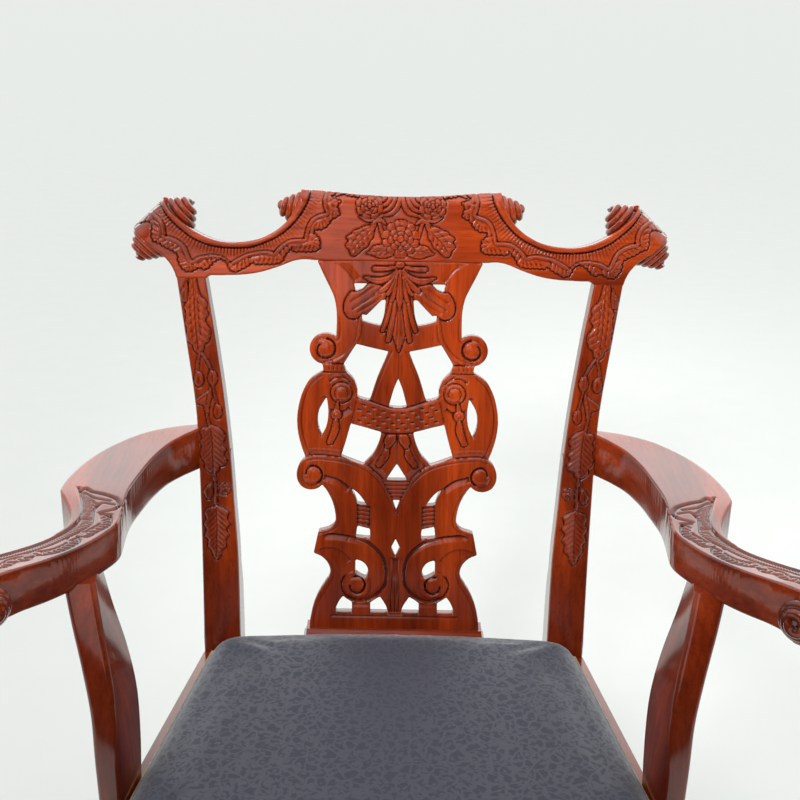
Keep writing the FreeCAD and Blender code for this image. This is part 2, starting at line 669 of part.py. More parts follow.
ARM_PLAN = [
    [(215, 37), (229, 37)],
    [(229, 37), (243, 22), (256, 0), (266, -33), (272, -69), (276, -102), (275.5, -130),
     (273, -157), (272.5, -175), (278, -192), (288, -212), (300, -232), (316, -253), (335, -273),
     (363, -301.5)],
    [(363, -301.5), (394, -270)],
    [(394, -270), (368, -244), (352, -229), (338, -214), (329, -200), (322.5, -184), (322, -166),
     (328, -147), (338, -126), (345, -112), (347, -98), (344, -72), (334, -35), (316, 0),
     (289, 31), (257, 49), (229, 58)],
    [(229, 58), (215, 58)],
    [(215, 58), (215, 37)],
]
ARM_SIDE = [
    [(62, 729), (40, 727.5), (0, 724), (-60, 720), (-110, 717), (-160, 713.5), (-210, 712),
     (-255, 714), (-279, 716)],
    [(-279, 716), (-335, 716)],
    [(-335, 716), (-335, 672)],
    [(-335, 672), (-290, 670), (-255, 669), (-206, 670), (-110, 671), (0, 674), (62, 677)],
    [(62, 677), (62, 729)],
]
ARM_ROLL_CENTRE = Vector(376, -288.5, 692)
ARM_ROLL_AXIS = Vector(-0.685, -0.728, 0)  # towards the inner end
SUPPORT_PATH = [  # height, x, y, half thickness, half depth, turn
    (412, 265.5, -262, 12, 26, 8.2), (462, 265.5, -262, 12.5, 28, 8.2),
    (515, 266, -258, 13, 31, 8.2), (560, 269, -249, 13.5, 31, 7), (600, 278, -237, 14, 30, 4),
    (640, 291, -222, 14.5, 28, -2), (674, 302, -206, 15, 27, -8),
]


def make_arms(post, side_rail, fixings):
    """Serpentine arms that end in a roll, on curved supports lapped over the side rails."""
    plank = board("arm_plank", ARM_PLAN, "dims.arm_blank_high", at_height(dim("arm_blank_z")))
    start = Placement(Vector(200, dim("back_root_y"), 0), SIDE_PLANE)
    shaped = common("arm_shaped", plank, extrusion("arm_side", ARM_SIDE, start, Vector(1, 0, 0), 230))
    axis = ARM_ROLL_AXIS.normalize()
    centre = ROOT + ARM_ROLL_CENTRE
    half = dim("arm_roll_long") / 2
    roll = rod("arm_roll", "dims.arm_roll_radius", "dims.arm_roll_long", centre - axis * half, axis)
    screws, dowels = fixings["arm"][0], fixings["dowel"][0]
    arm = cut("arm_solid", fuse("arm_blank", [shaped, roll]), [post] + screws + dowels)
    keep_pair("arm", arm)
    for label, sign in (("inner", 1), ("outer", -1)):
        name = "arm_%s_whorl" % label
        start = centre + axis * (sign * half)
        boss = whorl(name + "_boss", dim("arm_roll_radius") - 0.6, dim(name + "_long"), start, axis * sign)
        keep_pair(name, cut(name + "_solid", boss, [arm]))
    wires = []
    for z, x, y, half_x, half_y, turn in SUPPORT_PATH:
        wires.append(rounded_section(ROOT + Vector(x, y, z), half_x, half_y, 5, turn))
    curved = feature("support_loft", Part.makeLoft(wires, True, False))
    tools = [side_rail, arm] + fixings["laps"][0] + dowels
    keep_pair("arm_support", cut("support_solid", curved, tools))


# ---------------------------------------------------------------- glue blocks and fixings

def make_corner_blocks(fixings):
    """Braces glued and screwed into the four corners of the seat frame."""
    thick = dim("rail_thick")
    skew = thick * math.sqrt(1 + SIDE_SLOPE ** 2)
    edge = dim("front_half_wide") - dim("leg_block")
    joint_y = dim("leg_block") - dim("frame_deep")
    rail_y = 4 + thick - dim("frame_deep")
    blocks = fixings["blocks"][0]
    outline = closed([(178, rail_y), (edge, rail_y), (edge, joint_y),
                      (rail_outer_x(joint_y) - skew, joint_y), (rail_outer_x(-325) - skew, -325)])
    front = board("front_block", outline, "dims.front_corner_block_high", at_height(400))
    keep_pair("front_corner_block", cut("front_block_solid", front, [blocks[0], blocks[1]]))
    y = dim("post_front_y")
    outline = closed([(140, y), (rail_outer_x(y) - skew, y), (rail_outer_x(-62) - skew, -62),
                      (rail_outer_x(-62) - skew - 8, -62), (132, y - 8)])
    rear = board("rear_block", outline, "dims.rear_corner_block_high", at_height(399))
    keep_pair("rear_corner_block", cut("rear_block_solid", rear, [blocks[2], blocks[3]]))


# ---------------------------------------------------------------- drop-in seat

WEB_LONG_X = (-120, 0, 120)
WEB_CROSS_Y = (-110, -210, -310)
PAD_LEVELS = [(478, 0.5), (490, 4), (500, 16), (505, 45)]  # height, and how far in the pad's side is
CROWN_INSET = 105


def make_slip_seat():
    """Frame, webbing, foam, cover and dust sheet that lift out together."""
    gap = dim("slip_gap")
    inset = dim("lip_wide") + gap + dim("cover_thick")
    rear = SEAT_REAR_Y - dim("cover_thick")
    front = SEAT_FRONT_Y + dim("cover_thick")
    wide = dim("slip_frame_wide")
    low = dim("ledge_z") + dim("ledge_gap")
    top = low + dim("slip_frame_thick")

    def x_at(y, more=0.0):
        return rail_outer_x(y) - inset - more

    for name, y_a, y_b in (("seat_frame_rear", rear, rear - wide), ("seat_frame_front", front + wide, front)):
        runs = closed([(-x_at(y_a), y_a), (x_at(y_a), y_a), (x_at(y_b), y_b), (-x_at(y_b), y_b)])
        keep(name, board(name + "_board", runs, "dims.slip_frame_thick", at_height(low)))
    y_a, y_b = rear - wide, front + wide
    runs = closed([(x_at(y_a), y_a), (x_at(y_b), y_b), (x_at(y_b, wide), y_b), (x_at(y_a, wide), y_a)])
    right = board("seat_frame_side_board", runs, "dims.slip_frame_thick", at_height(low))
    keep_pair("seat_frame_side", right)

    strips = []
    web = dim("web_wide")
    margin = dim("web_margin")
    for i, x in enumerate(WEB_LONG_X):
        strips.append(box("web_long_%d" % i, (x - web / 2, ROOT.y + front + margin, top),
                          ("dims.web_wide", rear - front - 2 * margin, "dims.web_thick")))
    for i, y in enumerate(WEB_CROSS_Y):
        half = x_at(y + web / 2) - margin
        strips.append(box("web_cross_%d" % i, (-half, ROOT.y + y - web / 2, top + dim("web_thick")),
                          (2 * half, "dims.web_wide", "dims.web_thick")))
    webbing = doc.addObject("Part::Compound", "seat_webbing")
    webbing.Links = strips
    keep("seat_webbing", webbing)

    def loaf(levels):
        """A loft through inset trapezoids, for the foam and its cover."""
        wires = []
        for z, more in levels:
            a, b = rear - more, front + more
            points = [Vector(-x_at(a, more), a, z), Vector(x_at(a, more), a, z),
                      Vector(x_at(b, more), b, z), Vector(-x_at(b, more), b, z)]
            wires.append(Part.makePolygon([p + ROOT for p in points + points[:1]]))
        return Part.makeLoft(wires, True, True)

    pad_z = top + 2 * dim("web_thick") + 0.1
    skin = dim("cover_thick")
    crowned = PAD_LEVELS + [(dim("foam_crown_z"), CROWN_INSET)]
    foam = feature("foam_loaf", loaf([(pad_z, 0)] + crowned))
    keep("seat_foam", foam)
    outside = [(z + skin, more - skin) for z, more in crowned]
    outer = feature("cover_loaf", loaf([(low + 0.3, -skin)] + outside))
    well = feature("cover_well", loaf([(low - 5, 0), (pad_z, 0)]))
    keep("seat_cover", cut("cover_solid", outer, [well, foam]))
    sheet_runs = seat_outline(dim("lip_wide") + 24, rear - 16, front + 36)
    keep("seat_dust_sheet", board("dust_sheet", sheet_runs, "dims.dust_sheet_thick",
                                  at_height(low - dim("dust_sheet_thick") - 0.1)))


# ---------------------------------------------------------------- build

fixings = make_fixings()
splat = make_splat()
side_rail, seat_recess, side_tenons, front_tenon, rear_tenon = make_rails(fixings)
post_tools = [side_tenons[0], rear_tenon] + fixings["arm"][0] + fixings["plug"][0]
post, post_tenons = make_posts(post_tools)
crest = make_crest(splat, post_tenons)
make_back_whorls(crest)
make_shoe(splat)
leg = make_legs(seat_recess, [side_tenons[1], front_tenon])
make_knee_brackets(leg)
make_arms(post, side_rail, fixings)
make_corner_blocks(fixings)
make_slip_seat()
doc.recompute()

bad = [o.Name for o in doc.Objects if {"Invalid", "Error"} & set(o.State)]
for name, made in nodes.items():
    if made.Shape.isNull() or not made.Shape.isValid() or not made.Shape.Solids:
        bad.append(name)
if bad:
    raise RuntimeError("failed objects: %s" % bad)

os.makedirs("parts", exist_ok=True)
low = Vector(1e9, 1e9, 1e9)
high = Vector(-1e9, -1e9, -1e9)
for name, made in nodes.items():
    made.Shape.exportStep("parts/%s.step" % name)
    limits = made.Shape.BoundBox
    low = Vector(min(low.x, limits.XMin), min(low.y, limits.YMin), min(low.z, limits.ZMin))
    high = Vector(max(high.x, limits.XMax), max(high.y, limits.YMax), max(high.z, limits.ZMax))
    print(name, len(made.Shape.Solids), round(made.Shape.Volume / 1000, 1), "cm3")
print(len(nodes), "nodes; box", low, high)
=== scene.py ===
import math

import bpy
import numpy as np
from mathutils import Matrix, Vector
from mathutils.geometry import tessellate_polygon


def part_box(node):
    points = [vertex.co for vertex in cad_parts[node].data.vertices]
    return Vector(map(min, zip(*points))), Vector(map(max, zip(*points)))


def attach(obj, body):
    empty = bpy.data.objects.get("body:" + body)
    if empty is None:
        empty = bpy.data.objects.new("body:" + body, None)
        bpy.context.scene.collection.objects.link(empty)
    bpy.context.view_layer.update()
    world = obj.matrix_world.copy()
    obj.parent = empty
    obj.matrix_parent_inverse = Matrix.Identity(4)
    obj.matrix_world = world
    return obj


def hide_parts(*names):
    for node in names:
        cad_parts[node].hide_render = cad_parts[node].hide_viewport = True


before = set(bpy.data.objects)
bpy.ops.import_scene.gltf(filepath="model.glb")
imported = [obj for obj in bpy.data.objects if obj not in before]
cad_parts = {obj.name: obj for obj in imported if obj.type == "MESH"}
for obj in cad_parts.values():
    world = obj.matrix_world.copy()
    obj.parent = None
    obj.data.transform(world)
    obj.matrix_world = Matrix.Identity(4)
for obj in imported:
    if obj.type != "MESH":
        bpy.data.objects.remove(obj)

# Carved mahogany armchair. Carved faces are height fields in millimetres over the wood's own
# plane, and each is placed in the shared frame, in metres, when its mesh is made. On the back, x is
# across, s is up the raked plane and n is out of it. On the arms and seat, y is from the back's root.

MM = 0.001
RAKE = math.radians(10)
ROOT_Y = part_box("splat_shoe")[0].y + 7 * MM  # the back's raked plane passes here at ROOT_Z
ROOT_Z = 0.490
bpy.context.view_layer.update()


def on_back(x, s, n):
    """World points at x across, s up and n in front of the back's raked plane, all in mm."""
    y = s * math.sin(RAKE) - n * math.cos(RAKE)
    z = s * math.cos(RAKE) + n * math.sin(RAKE)
    return np.stack([x * MM, ROOT_Y + y * MM, ROOT_Z + z * MM], -1)


def on_plan(x, y, z):
    """World points of a plan in mm, with y from the back's root."""
    return np.stack([x * MM, ROOT_Y + y * MM, z * MM], -1)


# ------------------------------------------------------------------ curves

def smooth(points, per=6, closed=False):
    """A Catmull-Rom curve through the points."""
    p = np.asarray(points, float)
    if closed:
        ctrl = np.vstack([p[-1], p, p[0], p[1]])
    else:
        ctrl = np.vstack([2 * p[0] - p[1], p, 2 * p[-1] - p[-2]])
    t = np.linspace(0, 1, per, endpoint=False)[:, None]
    runs = []
    for a, b, c, d in zip(ctrl, ctrl[1:], ctrl[2:], ctrl[3:]):
        runs.append(0.5 * (2 * b + (c - a) * t + (2 * a - 5 * b + 4 * c - d) * t * t
                           + (3 * b - a - 3 * c + d) * t ** 3))
    out = np.vstack(runs)
    return out if closed else np.vstack([out, p[-1:]])


def chain(*runs):
    """Runs joined into one closed loop. A run of two points is a line, a longer one is a curve."""
    parts = [np.asarray(r, float) if len(r) == 2 else smooth(r) for r in runs]
    return np.vstack([p[:-1] for p in parts])


def arc(centre, radius, start, stop, count=24):
    """Points on a circle between two angles in degrees."""
    a = np.radians(np.linspace(start, stop, count))
    return np.stack([centre[0] + radius * np.cos(a), centre[1] + radius * np.sin(a)], 1)


def along(x, s, line):
    """Each point's distance to a polyline, its place along it (0 to 1), and its side (1 is left)."""
    line = np.asarray(line, float)
    seg = np.diff(line, axis=0)
    length = np.maximum(np.hypot(seg[:, 0], seg[:, 1]), 1e-9)
    start = np.concatenate([[0], np.cumsum(length)])
    best = np.full(x.shape, 1e18)
    place = np.zeros(x.shape)
    side = np.ones(x.shape)
    for p, d, l, a in zip(line[:-1], seg, length, start):
        u = np.clip(((x - p[0]) * d[0] + (s - p[1]) * d[1]) / l ** 2, 0, 1)
        ex, es = x - p[0] - u * d[0], s - p[1] - u * d[1]
        q = ex * ex + es * es
        near = q < best
        best = np.where(near, q, best)
        place = np.where(near, (a + u * l) / start[-1], place)
        side = np.where(near, np.sign(d[0] * es - d[1] * ex), side)
    return np.sqrt(best), place, side


def depth_in(x, s, loop):
    """Signed distance into a closed loop, positive inside."""
    loop = np.asarray(loop, float)
    ring = np.vstack([loop, loop[:1]])
    distance, _, _ = along(x, s, ring)
    inside = np.zeros(x.shape, bool)
    for (x1, s1), (x2, s2) in zip(ring[:-1], ring[1:]):
        if s1 != s2:
            inside ^= ((s1 > s) != (s2 > s)) & (x < (x2 - x1) * (s - s1) / (s2 - s1) + x1)
    return np.where(inside, distance, -distance)


def ease(v):
    """A smooth step from 0 to 1."""
    v = np.clip(v, 0, 1)
    return v * v * (3 - 2 * v)


def blur(a, cells):
    """A box blur, used twice for a rounder falloff."""
    for _ in range(2):
        for axis in (0, 1):
            pad = [(cells, cells) if k == axis else (0, 0) for k in (0, 1)]
            total = np.cumsum(np.pad(a, pad, mode="edge"), axis=axis)
            total = np.insert(total, 0, 0, axis=axis)
            size = a.shape[axis]
            high = np.take(total, np.arange(2 * cells + 1, 2 * cells + 1 + size), axis=axis)
            low = np.take(total, np.arange(size), axis=axis)
            a = (high - low) / (2 * cells + 1)
    return a


# ------------------------------------------------------------------ carving

class Face:
    """A carved face: a grid of points in mm, the relief height at each, and the wood's outline."""

    def __init__(self, x_low, x_high, s_low, s_high, step):
        self.step = step
        self.xs = np.arange(x_low, x_high + step / 2, step)
        self.ss = np.arange(s_low, s_high + step / 2, step)
        self.x, self.s = np.meshgrid(self.xs, self.ss)
        self.h = np.zeros(self.x.shape)
        self.solid = np.full(self.x.shape, 99.0)

    def near(self, points, pad=0.0):
        """The part of the grid round some points."""
        p = np.asarray(points, float)
        lo, hi = p.min(0) - pad, p.max(0) + pad
        i = np.clip(np.searchsorted(self.xs, [lo[0], hi[0]]), 0, len(self.xs))
        j = np.clip(np.searchsorted(self.ss, [lo[1], hi[1]]), 0, len(self.ss))
        return slice(j[0], j[1]), slice(i[0], i[1])

    def outline(self, loop):
        """Keeps the wood inside a loop."""
        self.solid = np.minimum(self.solid, depth_in(self.x, self.s, loop))

    def hole(self, loop):
        """Pierces the wood."""
        w = self.near(loop, 8)
        self.solid[w] = np.minimum(self.solid[w], -depth_in(self.x[w], self.s[w], loop))

    def groove(self, line, width=1.0, depth=1.0):
        """A round-bottomed cut along a line."""
        w = self.near(line, 3 * width)
        d, _, _ = along(self.x[w], self.s[w], line)
        self.h[w] -= depth * np.exp(-(d / width) ** 2)

    def bead(self, line, half, height):
        """A half-round moulding along a line."""
        w = self.near(line, half + 1)
        d, _, _ = along(self.x[w], self.s[w], line)
        self.h[w] = np.maximum(self.h[w], height * np.sqrt(np.clip(1 - (d / half) ** 2, 0, 1)))

    def ledge(self, line, depth, reach, left=True):
        """Sinks the wood on one side of a line, which then reads as the edge of a strap on top."""
        w = self.near(line, reach)
        d, place, side = along(self.x[w], self.s[w], line)
        mine = (side > 0) if left else (side <= 0)
        ends = ease(place / 0.06) * ease((1 - place) / 0.06)
        sunk = depth * (1 - ease((d - 1) / reach)) * ease(d / 0.8) * ends
        self.h[w] -= np.where(mine, sunk, 0)

    def lobe(self, spine, widths, height=1.6, level=0.0, vein=0.0, serrate=0, moat=0.9):
        """A rounded tongue on a spine. Half widths are spread evenly along it."""
        line = smooth(spine) if len(spine) > 2 else np.asarray(spine, float)
        w = self.near(line, max(widths) + 3)
        d, place, side = along(self.x[w], self.s[w], line)
        half = np.interp(place, np.linspace(0, 1, len(widths)), widths)
        if serrate:
            notch = 0.5 - 0.5 * np.cos(2 * math.pi * (serrate * place + 0.25 * side))
            half = half * (1 - 0.3 * notch ** 2)
        half = np.maximum(half, 0.01)
        inside = d < half
        top = level + height * np.sqrt(np.clip(1 - (d / half) ** 2, 0, 1))
        if vein:
            top -= vein * np.exp(-(d / 0.7) ** 2)
            if serrate:
                ribs = 0.5 + 0.5 * np.cos(2 * math.pi * (serrate * place + 0.25 * side - 0.05 * d))
                top -= 0.5 * vein * ribs ** 4
        outer = self.h[w] - moat * np.exp(-((d - half) / 0.9) ** 2)
        self.h[w] = np.where(inside, top, outer)

    def dome(self, centre, radius, height=2.0, level=0.0, moat=0.9):
        """A round boss."""
        self.lobe([centre, (centre[0] + 0.01, centre[1])], [radius, radius], height, level, moat=moat)

    def flower(self, centre, radius, petals, inner, turn=0.0, height=2.6):
        """A rosette: rings of domed petals round a bud."""
        w = self.near([centre], radius + 3)
        dx, ds = self.x[w] - centre[0], self.s[w] - centre[1]
        r, angle = np.hypot(dx, ds), np.arctan2(ds, dx)
        h = self.h[w]
        for size, count, spin, up in ((1.0, petals, turn, 0.55), (0.66, inner, turn + 0.4, 0.85),
                                      (0.40, 5, turn, 1.05), (0.18, 1, 0, 1.3)):
            wave = np.abs(np.cos(count * (angle - spin) / 2)) if count > 1 else np.ones(r.shape)
            edge = radius * size * (0.84 + 0.16 * wave ** 0.6)
            cup = (0.58 + 0.42 * wave) * (0.7 + 0.3 * np.clip(r / edge, 0, 1))
            top = height * up * cup * np.sqrt(np.clip(1 - (r / edge) ** 6, 0, 1))
            if count > 1:
                top -= 0.9 * np.exp(-(wave / 0.22) ** 2) * ease(r / edge * 2 - 0.6)
            outer = h - 1.2 * np.exp(-((r - edge) / 0.9) ** 2)
            h = np.where(r < edge, top, outer)
        self.h[w] = h

    def leaf(self, outline, midrib, height=1.8, level=0.3, pitch=5.0, vein=0.6, lean=0.9):
        """A leaf with its own outline, a midrib and slanting veins, in a sunk border."""
        outline = smooth(outline, closed=True)
        w = self.near(outline, 3)
        x, s = self.x[w], self.s[w]
        inside = depth_in(x, s, outline)
        rib = smooth(midrib)
        d, place, side = along(x, s, rib)
        long = np.hypot(*np.diff(rib, axis=0).T).sum()
        swell = np.sqrt(np.clip(1 - (1 - np.clip(inside / 3.2, 0, 1)) ** 2, 0, 1))
        veins = (0.5 + 0.5 * np.cos(2 * math.pi * (place * long - lean * d + side * pitch / 4) / pitch)) ** 2
        top = level + height * swell - vein * veins * ease(d / 2) - 1.1 * np.exp(-(d / 0.8) ** 2)
        outer = self.h[w] - 1.3 * np.exp(-(inside / 0.9) ** 2)
        self.h[w] = np.where(inside > 0, top, outer)

    def volute(self, centre, eye, start, sweep, level=2.2, rim=0.0):
        """A scroll's domed eye, with the groove that winds round and into it."""
        w = self.near([centre], max(eye, rim) + 3)
        r = np.hypot(self.x[w] - centre[0], self.s[w] - centre[1])
        self.h[w] += level * np.sqrt(np.clip(1 - (r / (eye + 0.6)) ** 2, 0, 1))
        if rim:
            middle, half = (eye + rim) / 2, (rim - eye) / 2
            self.h[w] += 1.1 * np.sqrt(np.clip(1 - ((r - middle) / half) ** 2, 0, 1))
        turn = np.linspace(0, 1, 48)
        a = np.radians(start + sweep * turn)
        radius = eye * (0.72 + 0.34 * np.minimum(turn * 3, 1))
        line = np.stack([centre[0] + radius * np.cos(a), centre[1] + radius * np.sin(a)], 1)
        self.groove(line, 1.25, 2.4)

    def round_edges(self, radius):
        """Rounds the relief over at the wood's edges."""
        d = np.clip(radius - np.maximum(self.solid, 0), 0, radius)
        self.h -= radius - np.sqrt(radius ** 2 - d ** 2)

    def polish_and_shade(self):
        """How dark the hollows are made, as dark polish gathered there and as painted shade: 1 in the bottom
        of a groove.
        """
        cells = max(1, int(round(1.5 / self.step)))
        hollow = blur(self.h, cells) - self.h
        return np.clip(hollow / 0.55 - 0.06, 0, 1) ** 1.1

    def doubled(self):
        """The face and its mirror image in x = 0, which is the grid's first column."""
        both = Face.__new__(Face)
        both.step = self.step
        both.xs = np.concatenate([-self.xs[:0:-1], self.xs])
        both.ss = self.ss
        both.x, both.s = np.meshgrid(both.xs, both.ss)
        for key in ("h", "solid"):
            half = getattr(self, key)
            setattr(both, key, np.concatenate([half[:, :0:-1], half], axis=1))
        return both


def march(xs, ss, depth):
    """Covers depth > 0 on a grid: its points, its faces by kind, and the rim's directed edges."""
    inside = depth > 0
    gx, gs = np.meshgrid(xs, ss)
    node = np.full(depth.shape, -1)
    node[inside] = np.arange(inside.sum())
    points = [np.stack([gx[inside], gs[inside]], 1)]
    total = inside.sum()
    cuts = []
    for a, b in ((np.s_[:, :-1], np.s_[:, 1:]), (np.s_[:-1, :], np.s_[1:, :])):
        cut = inside[a] != inside[b]
        t = (depth[a][cut] / (depth[a][cut] - depth[b][cut]))[:, None]
        pa = np.stack([gx[a][cut], gs[a][cut]], 1)
        pb = np.stack([gx[b][cut], gs[b][cut]], 1)
        points.append(pa + (pb - pa) * t)
        index = np.full(cut.shape, -1)
        index[cut] = total + np.arange(cut.sum())
        total += cut.sum()
        cuts.append(index)
    across, up = cuts
    corner = [node[:-1, :-1], node[:-1, 1:], node[1:, 1:], node[1:, :-1]]
    edge = [across[:-1, :], up[:, 1:], across[1:, :], up[:, :-1]]
    case = sum((c >= 0).astype(int) << k for k, c in enumerate(corner))
    faces, rim = [], []
    for kind in range(1, 16):
        where = case == kind
        if not where.any():
            continue
        ring, cut_here = [], []
        for k in range(4):
            bit, after = kind >> k & 1, kind >> (k + 1) % 4 & 1
            if bit:
                ring.append(corner[k][where])
            if bit != after:
                ring.append(edge[k][where])
                cut_here.append((bit, edge[k][where]))
        faces.append(np.stack(ring, 1))
        if cut_here and not cut_here[0][0]:
            cut_here = cut_here[1:] + cut_here[:1]
        for leave, enter in zip(cut_here[::2], cut_here[1::2]):
            rim.append(np.stack([leave[1], enter[1]], 1))
    return np.vstack(points), faces, np.vstack(rim)


def sample(grid, face, points):
    """Bilinear values of a grid at points."""
    i = (points[:, 0] - face.xs[0]) / face.step
    j = (points[:, 1] - face.ss[0]) / face.step
    i0 = np.clip(i.astype(int), 0, len(face.xs) - 2)
    j0 = np.clip(j.astype(int), 0, len(face.ss) - 2)
    u, v = i - i0, j - j0
    low = grid[j0, i0] * (1 - u) + grid[j0, i0 + 1] * u
    high = grid[j0 + 1, i0] * (1 - u) + grid[j0 + 1, i0 + 1] * u
    return low * (1 - v) + high * v


def rim_loops(rim):
    """The rim's directed edges, joined into closed loops of point numbers."""
    after = dict(rim.tolist())
    loops = []
    while after:
        start, point = after.popitem()
        loop = [start]
        while point != start:
            loop.append(point)
            point = after.pop(point)
        loops.append(loop)
    return loops


def add_mesh(name, points, faces, material, polish_and_shade=None, grain=None, sharp=42):
    """A mesh object on the chair, with the attributes that the wood material reads."""
    mesh = bpy.data.meshes.new(name)
    mesh.from_pydata(points.tolist(), [], faces)
    mesh.polygons.foreach_set("use_smooth", np.ones(len(mesh.polygons), bool))
    mesh.set_sharp_from_angle(angle=math.radians(sharp))
    if polish_and_shade is not None:
        mesh.attributes.new("polish_and_shade", "FLOAT", "POINT").data.foreach_set("value", polish_and_shade)
    if grain is not None:
        mesh.attributes.new("grain", "FLOAT_VECTOR", "POINT").data.foreach_set(
            "vector", (grain * MM).ravel())
    mesh.materials.append(material)
    made = bpy.data.objects.new(name, mesh)
    bpy.context.collection.objects.link(made)
    return made


def slab(name, face, place, back, material, grain_along, base=None, flat_back=False):
    """A carved board: relief over base(x, s) in front, back(x, s, solid) behind, walls between."""
    points, faces, rim = march(face.xs, face.ss, face.solid)
    loops = rim_loops(rim)
    for loop in loops:
        for _ in range(4):
            ring = points[loop]
            points[loop] = (np.roll(ring, 1, 0) + 2 * ring + np.roll(ring, -1, 0)) / 4
    x, s = points[:, 0], points[:, 1]
    front = sample(face.h, face, points)
    if base:
        front = front + base(x, s)
    behind = back(x, s, np.maximum(sample(face.solid, face, points), 0))
    # Dark polish and painted shade in the carved hollows, with less of it on the rim.
    polish_and_shade = sample(face.polish_and_shade(), face, points)
    if flat_back:
        edge = np.unique(rim)
        place_of = np.full(len(points), -1)
        place_of[edge] = len(points) + np.arange(len(edge))
        flat = tessellate_polygon([[Vector((x[i], s[i], 0)) for i in loop] for loop in loops])
        order = [i for loop in loops for i in loop]
        lower = []
        for tri in flat:
            a, b, c = (order[i] for i in tri)
            turn = (x[b] - x[a]) * (s[c] - s[a]) - (x[c] - x[a]) * (s[b] - s[a])
            ring = (a, c, b) if turn > 0 else (a, b, c)
            lower.append([int(place_of[i]) for i in ring])
    else:
        edge = np.arange(len(points))
        place_of = len(points) + edge
        lower = [place_of[f[:, ::-1]].tolist() for f in faces]
        lower = [ring for group in lower for ring in group]
    upper = [ring for group in faces for ring in group.tolist()]
    walls = np.stack([rim[:, 0], place_of[rim[:, 0]], place_of[rim[:, 1]], rim[:, 1]], 1).tolist()
    world = np.vstack([place(x, s, front), place(x[edge], s[edge], behind[edge])])
    local = np.vstack([np.stack([x, s, front], 1),
                       np.stack([x[edge], s[edge], behind[edge]], 1)])
    if grain_along == "x":
        local = local[:, [1, 2, 0]]
    elif grain_along == "s":
        local = local[:, [0, 2, 1]]
    polish_and_shade[np.unique(rim)] *= 0.3
    dark = np.concatenate([polish_and_shade, np.zeros(len(edge))])
    return add_mesh(name, world, upper + lower + walls, material, dark, local)


def skin(name, rings, material, polish_and_shade=None, grain=None, sharp=42):
    """A capped tube through closed rings of points, shaped (rings, points, 3)."""
    count, around, _ = rings.shape
    index = np.arange(count * around).reshape(count, around)
    a, b = index[:-1], index[1:]
    quads = np.stack([a, np.roll(a, -1, 1), np.roll(b, -1, 1), b], -1).reshape(-1, 4)
    faces = quads.tolist() + [index[0, ::-1].tolist(), index[-1].tolist()]
    flat = rings.reshape(-1, 3)
    dark = np.zeros(len(flat)) if polish_and_shade is None else polish_and_shade.ravel()
    local = flat / MM if grain is None else grain.reshape(-1, 3)
    return add_mesh(name, flat, faces, material, dark, local, sharp)


def both_sides(make, *shared):
    """Makes pieces on the right, where side is 1, and their mirror images, where it is -1."""
    make("right", 1, *shared)
    make("left", -1, *shared)


def face_outwards(made, side):
    """Turns a mirrored mesh's faces the right way out again."""
    if side < 0:
        made.data.flip_normals()


# ------------------------------------------------------------------ materials

def new_material(name):
    """A material, its node tree and its Principled shader."""
    made = bpy.data.materials.new(name)
    made.use_nodes = True
    tree = made.node_tree
    return made, tree, tree.nodes["Principled BSDF"]


def link(tree, source, target):
    """Joins two sockets."""
    tree.links.new(source, target)


def add_node(tree, kind, **settings):
    """A node with its inputs or its own properties set by name."""
    node = tree.nodes.new(kind)
    for key, value in settings.items():
        if key in node.inputs:
            node.inputs[key].default_value = value
        else:
            setattr(node, key, value)
    return node


def color_ramp(tree, factor, stops):
    """The colour at a factor between stops of place and colour."""
    ramp = tree.nodes.new("ShaderNodeValToRGB")
    elements = ramp.color_ramp.elements
    while len(elements) < len(stops):
        elements.new(0.5)
    for element, (place, color) in zip(elements, stops):
        element.position = place
        element.color = (*color, 1)
    tree.links.new(factor, ramp.inputs["Fac"])
    return ramp.outputs["Color"]


def mix(tree, blend, factor, a, b):
    """Two colours blended. Each value is a socket, a colour or a number."""
    node = tree.nodes.new("ShaderNodeMix")
    node.data_type = "RGBA"
    node.blend_type = blend
    for socket, value in ((node.inputs["Factor"], factor), (node.inputs["A"], a),
                          (node.inputs["B"], b)):
        if isinstance(value, bpy.types.NodeSocket):
            tree.links.new(value, socket)
        elif isinstance(value, tuple):
            socket.default_value = (*value, 1)
        else:
            socket.default_value = value
    return node.outputs["Result"]


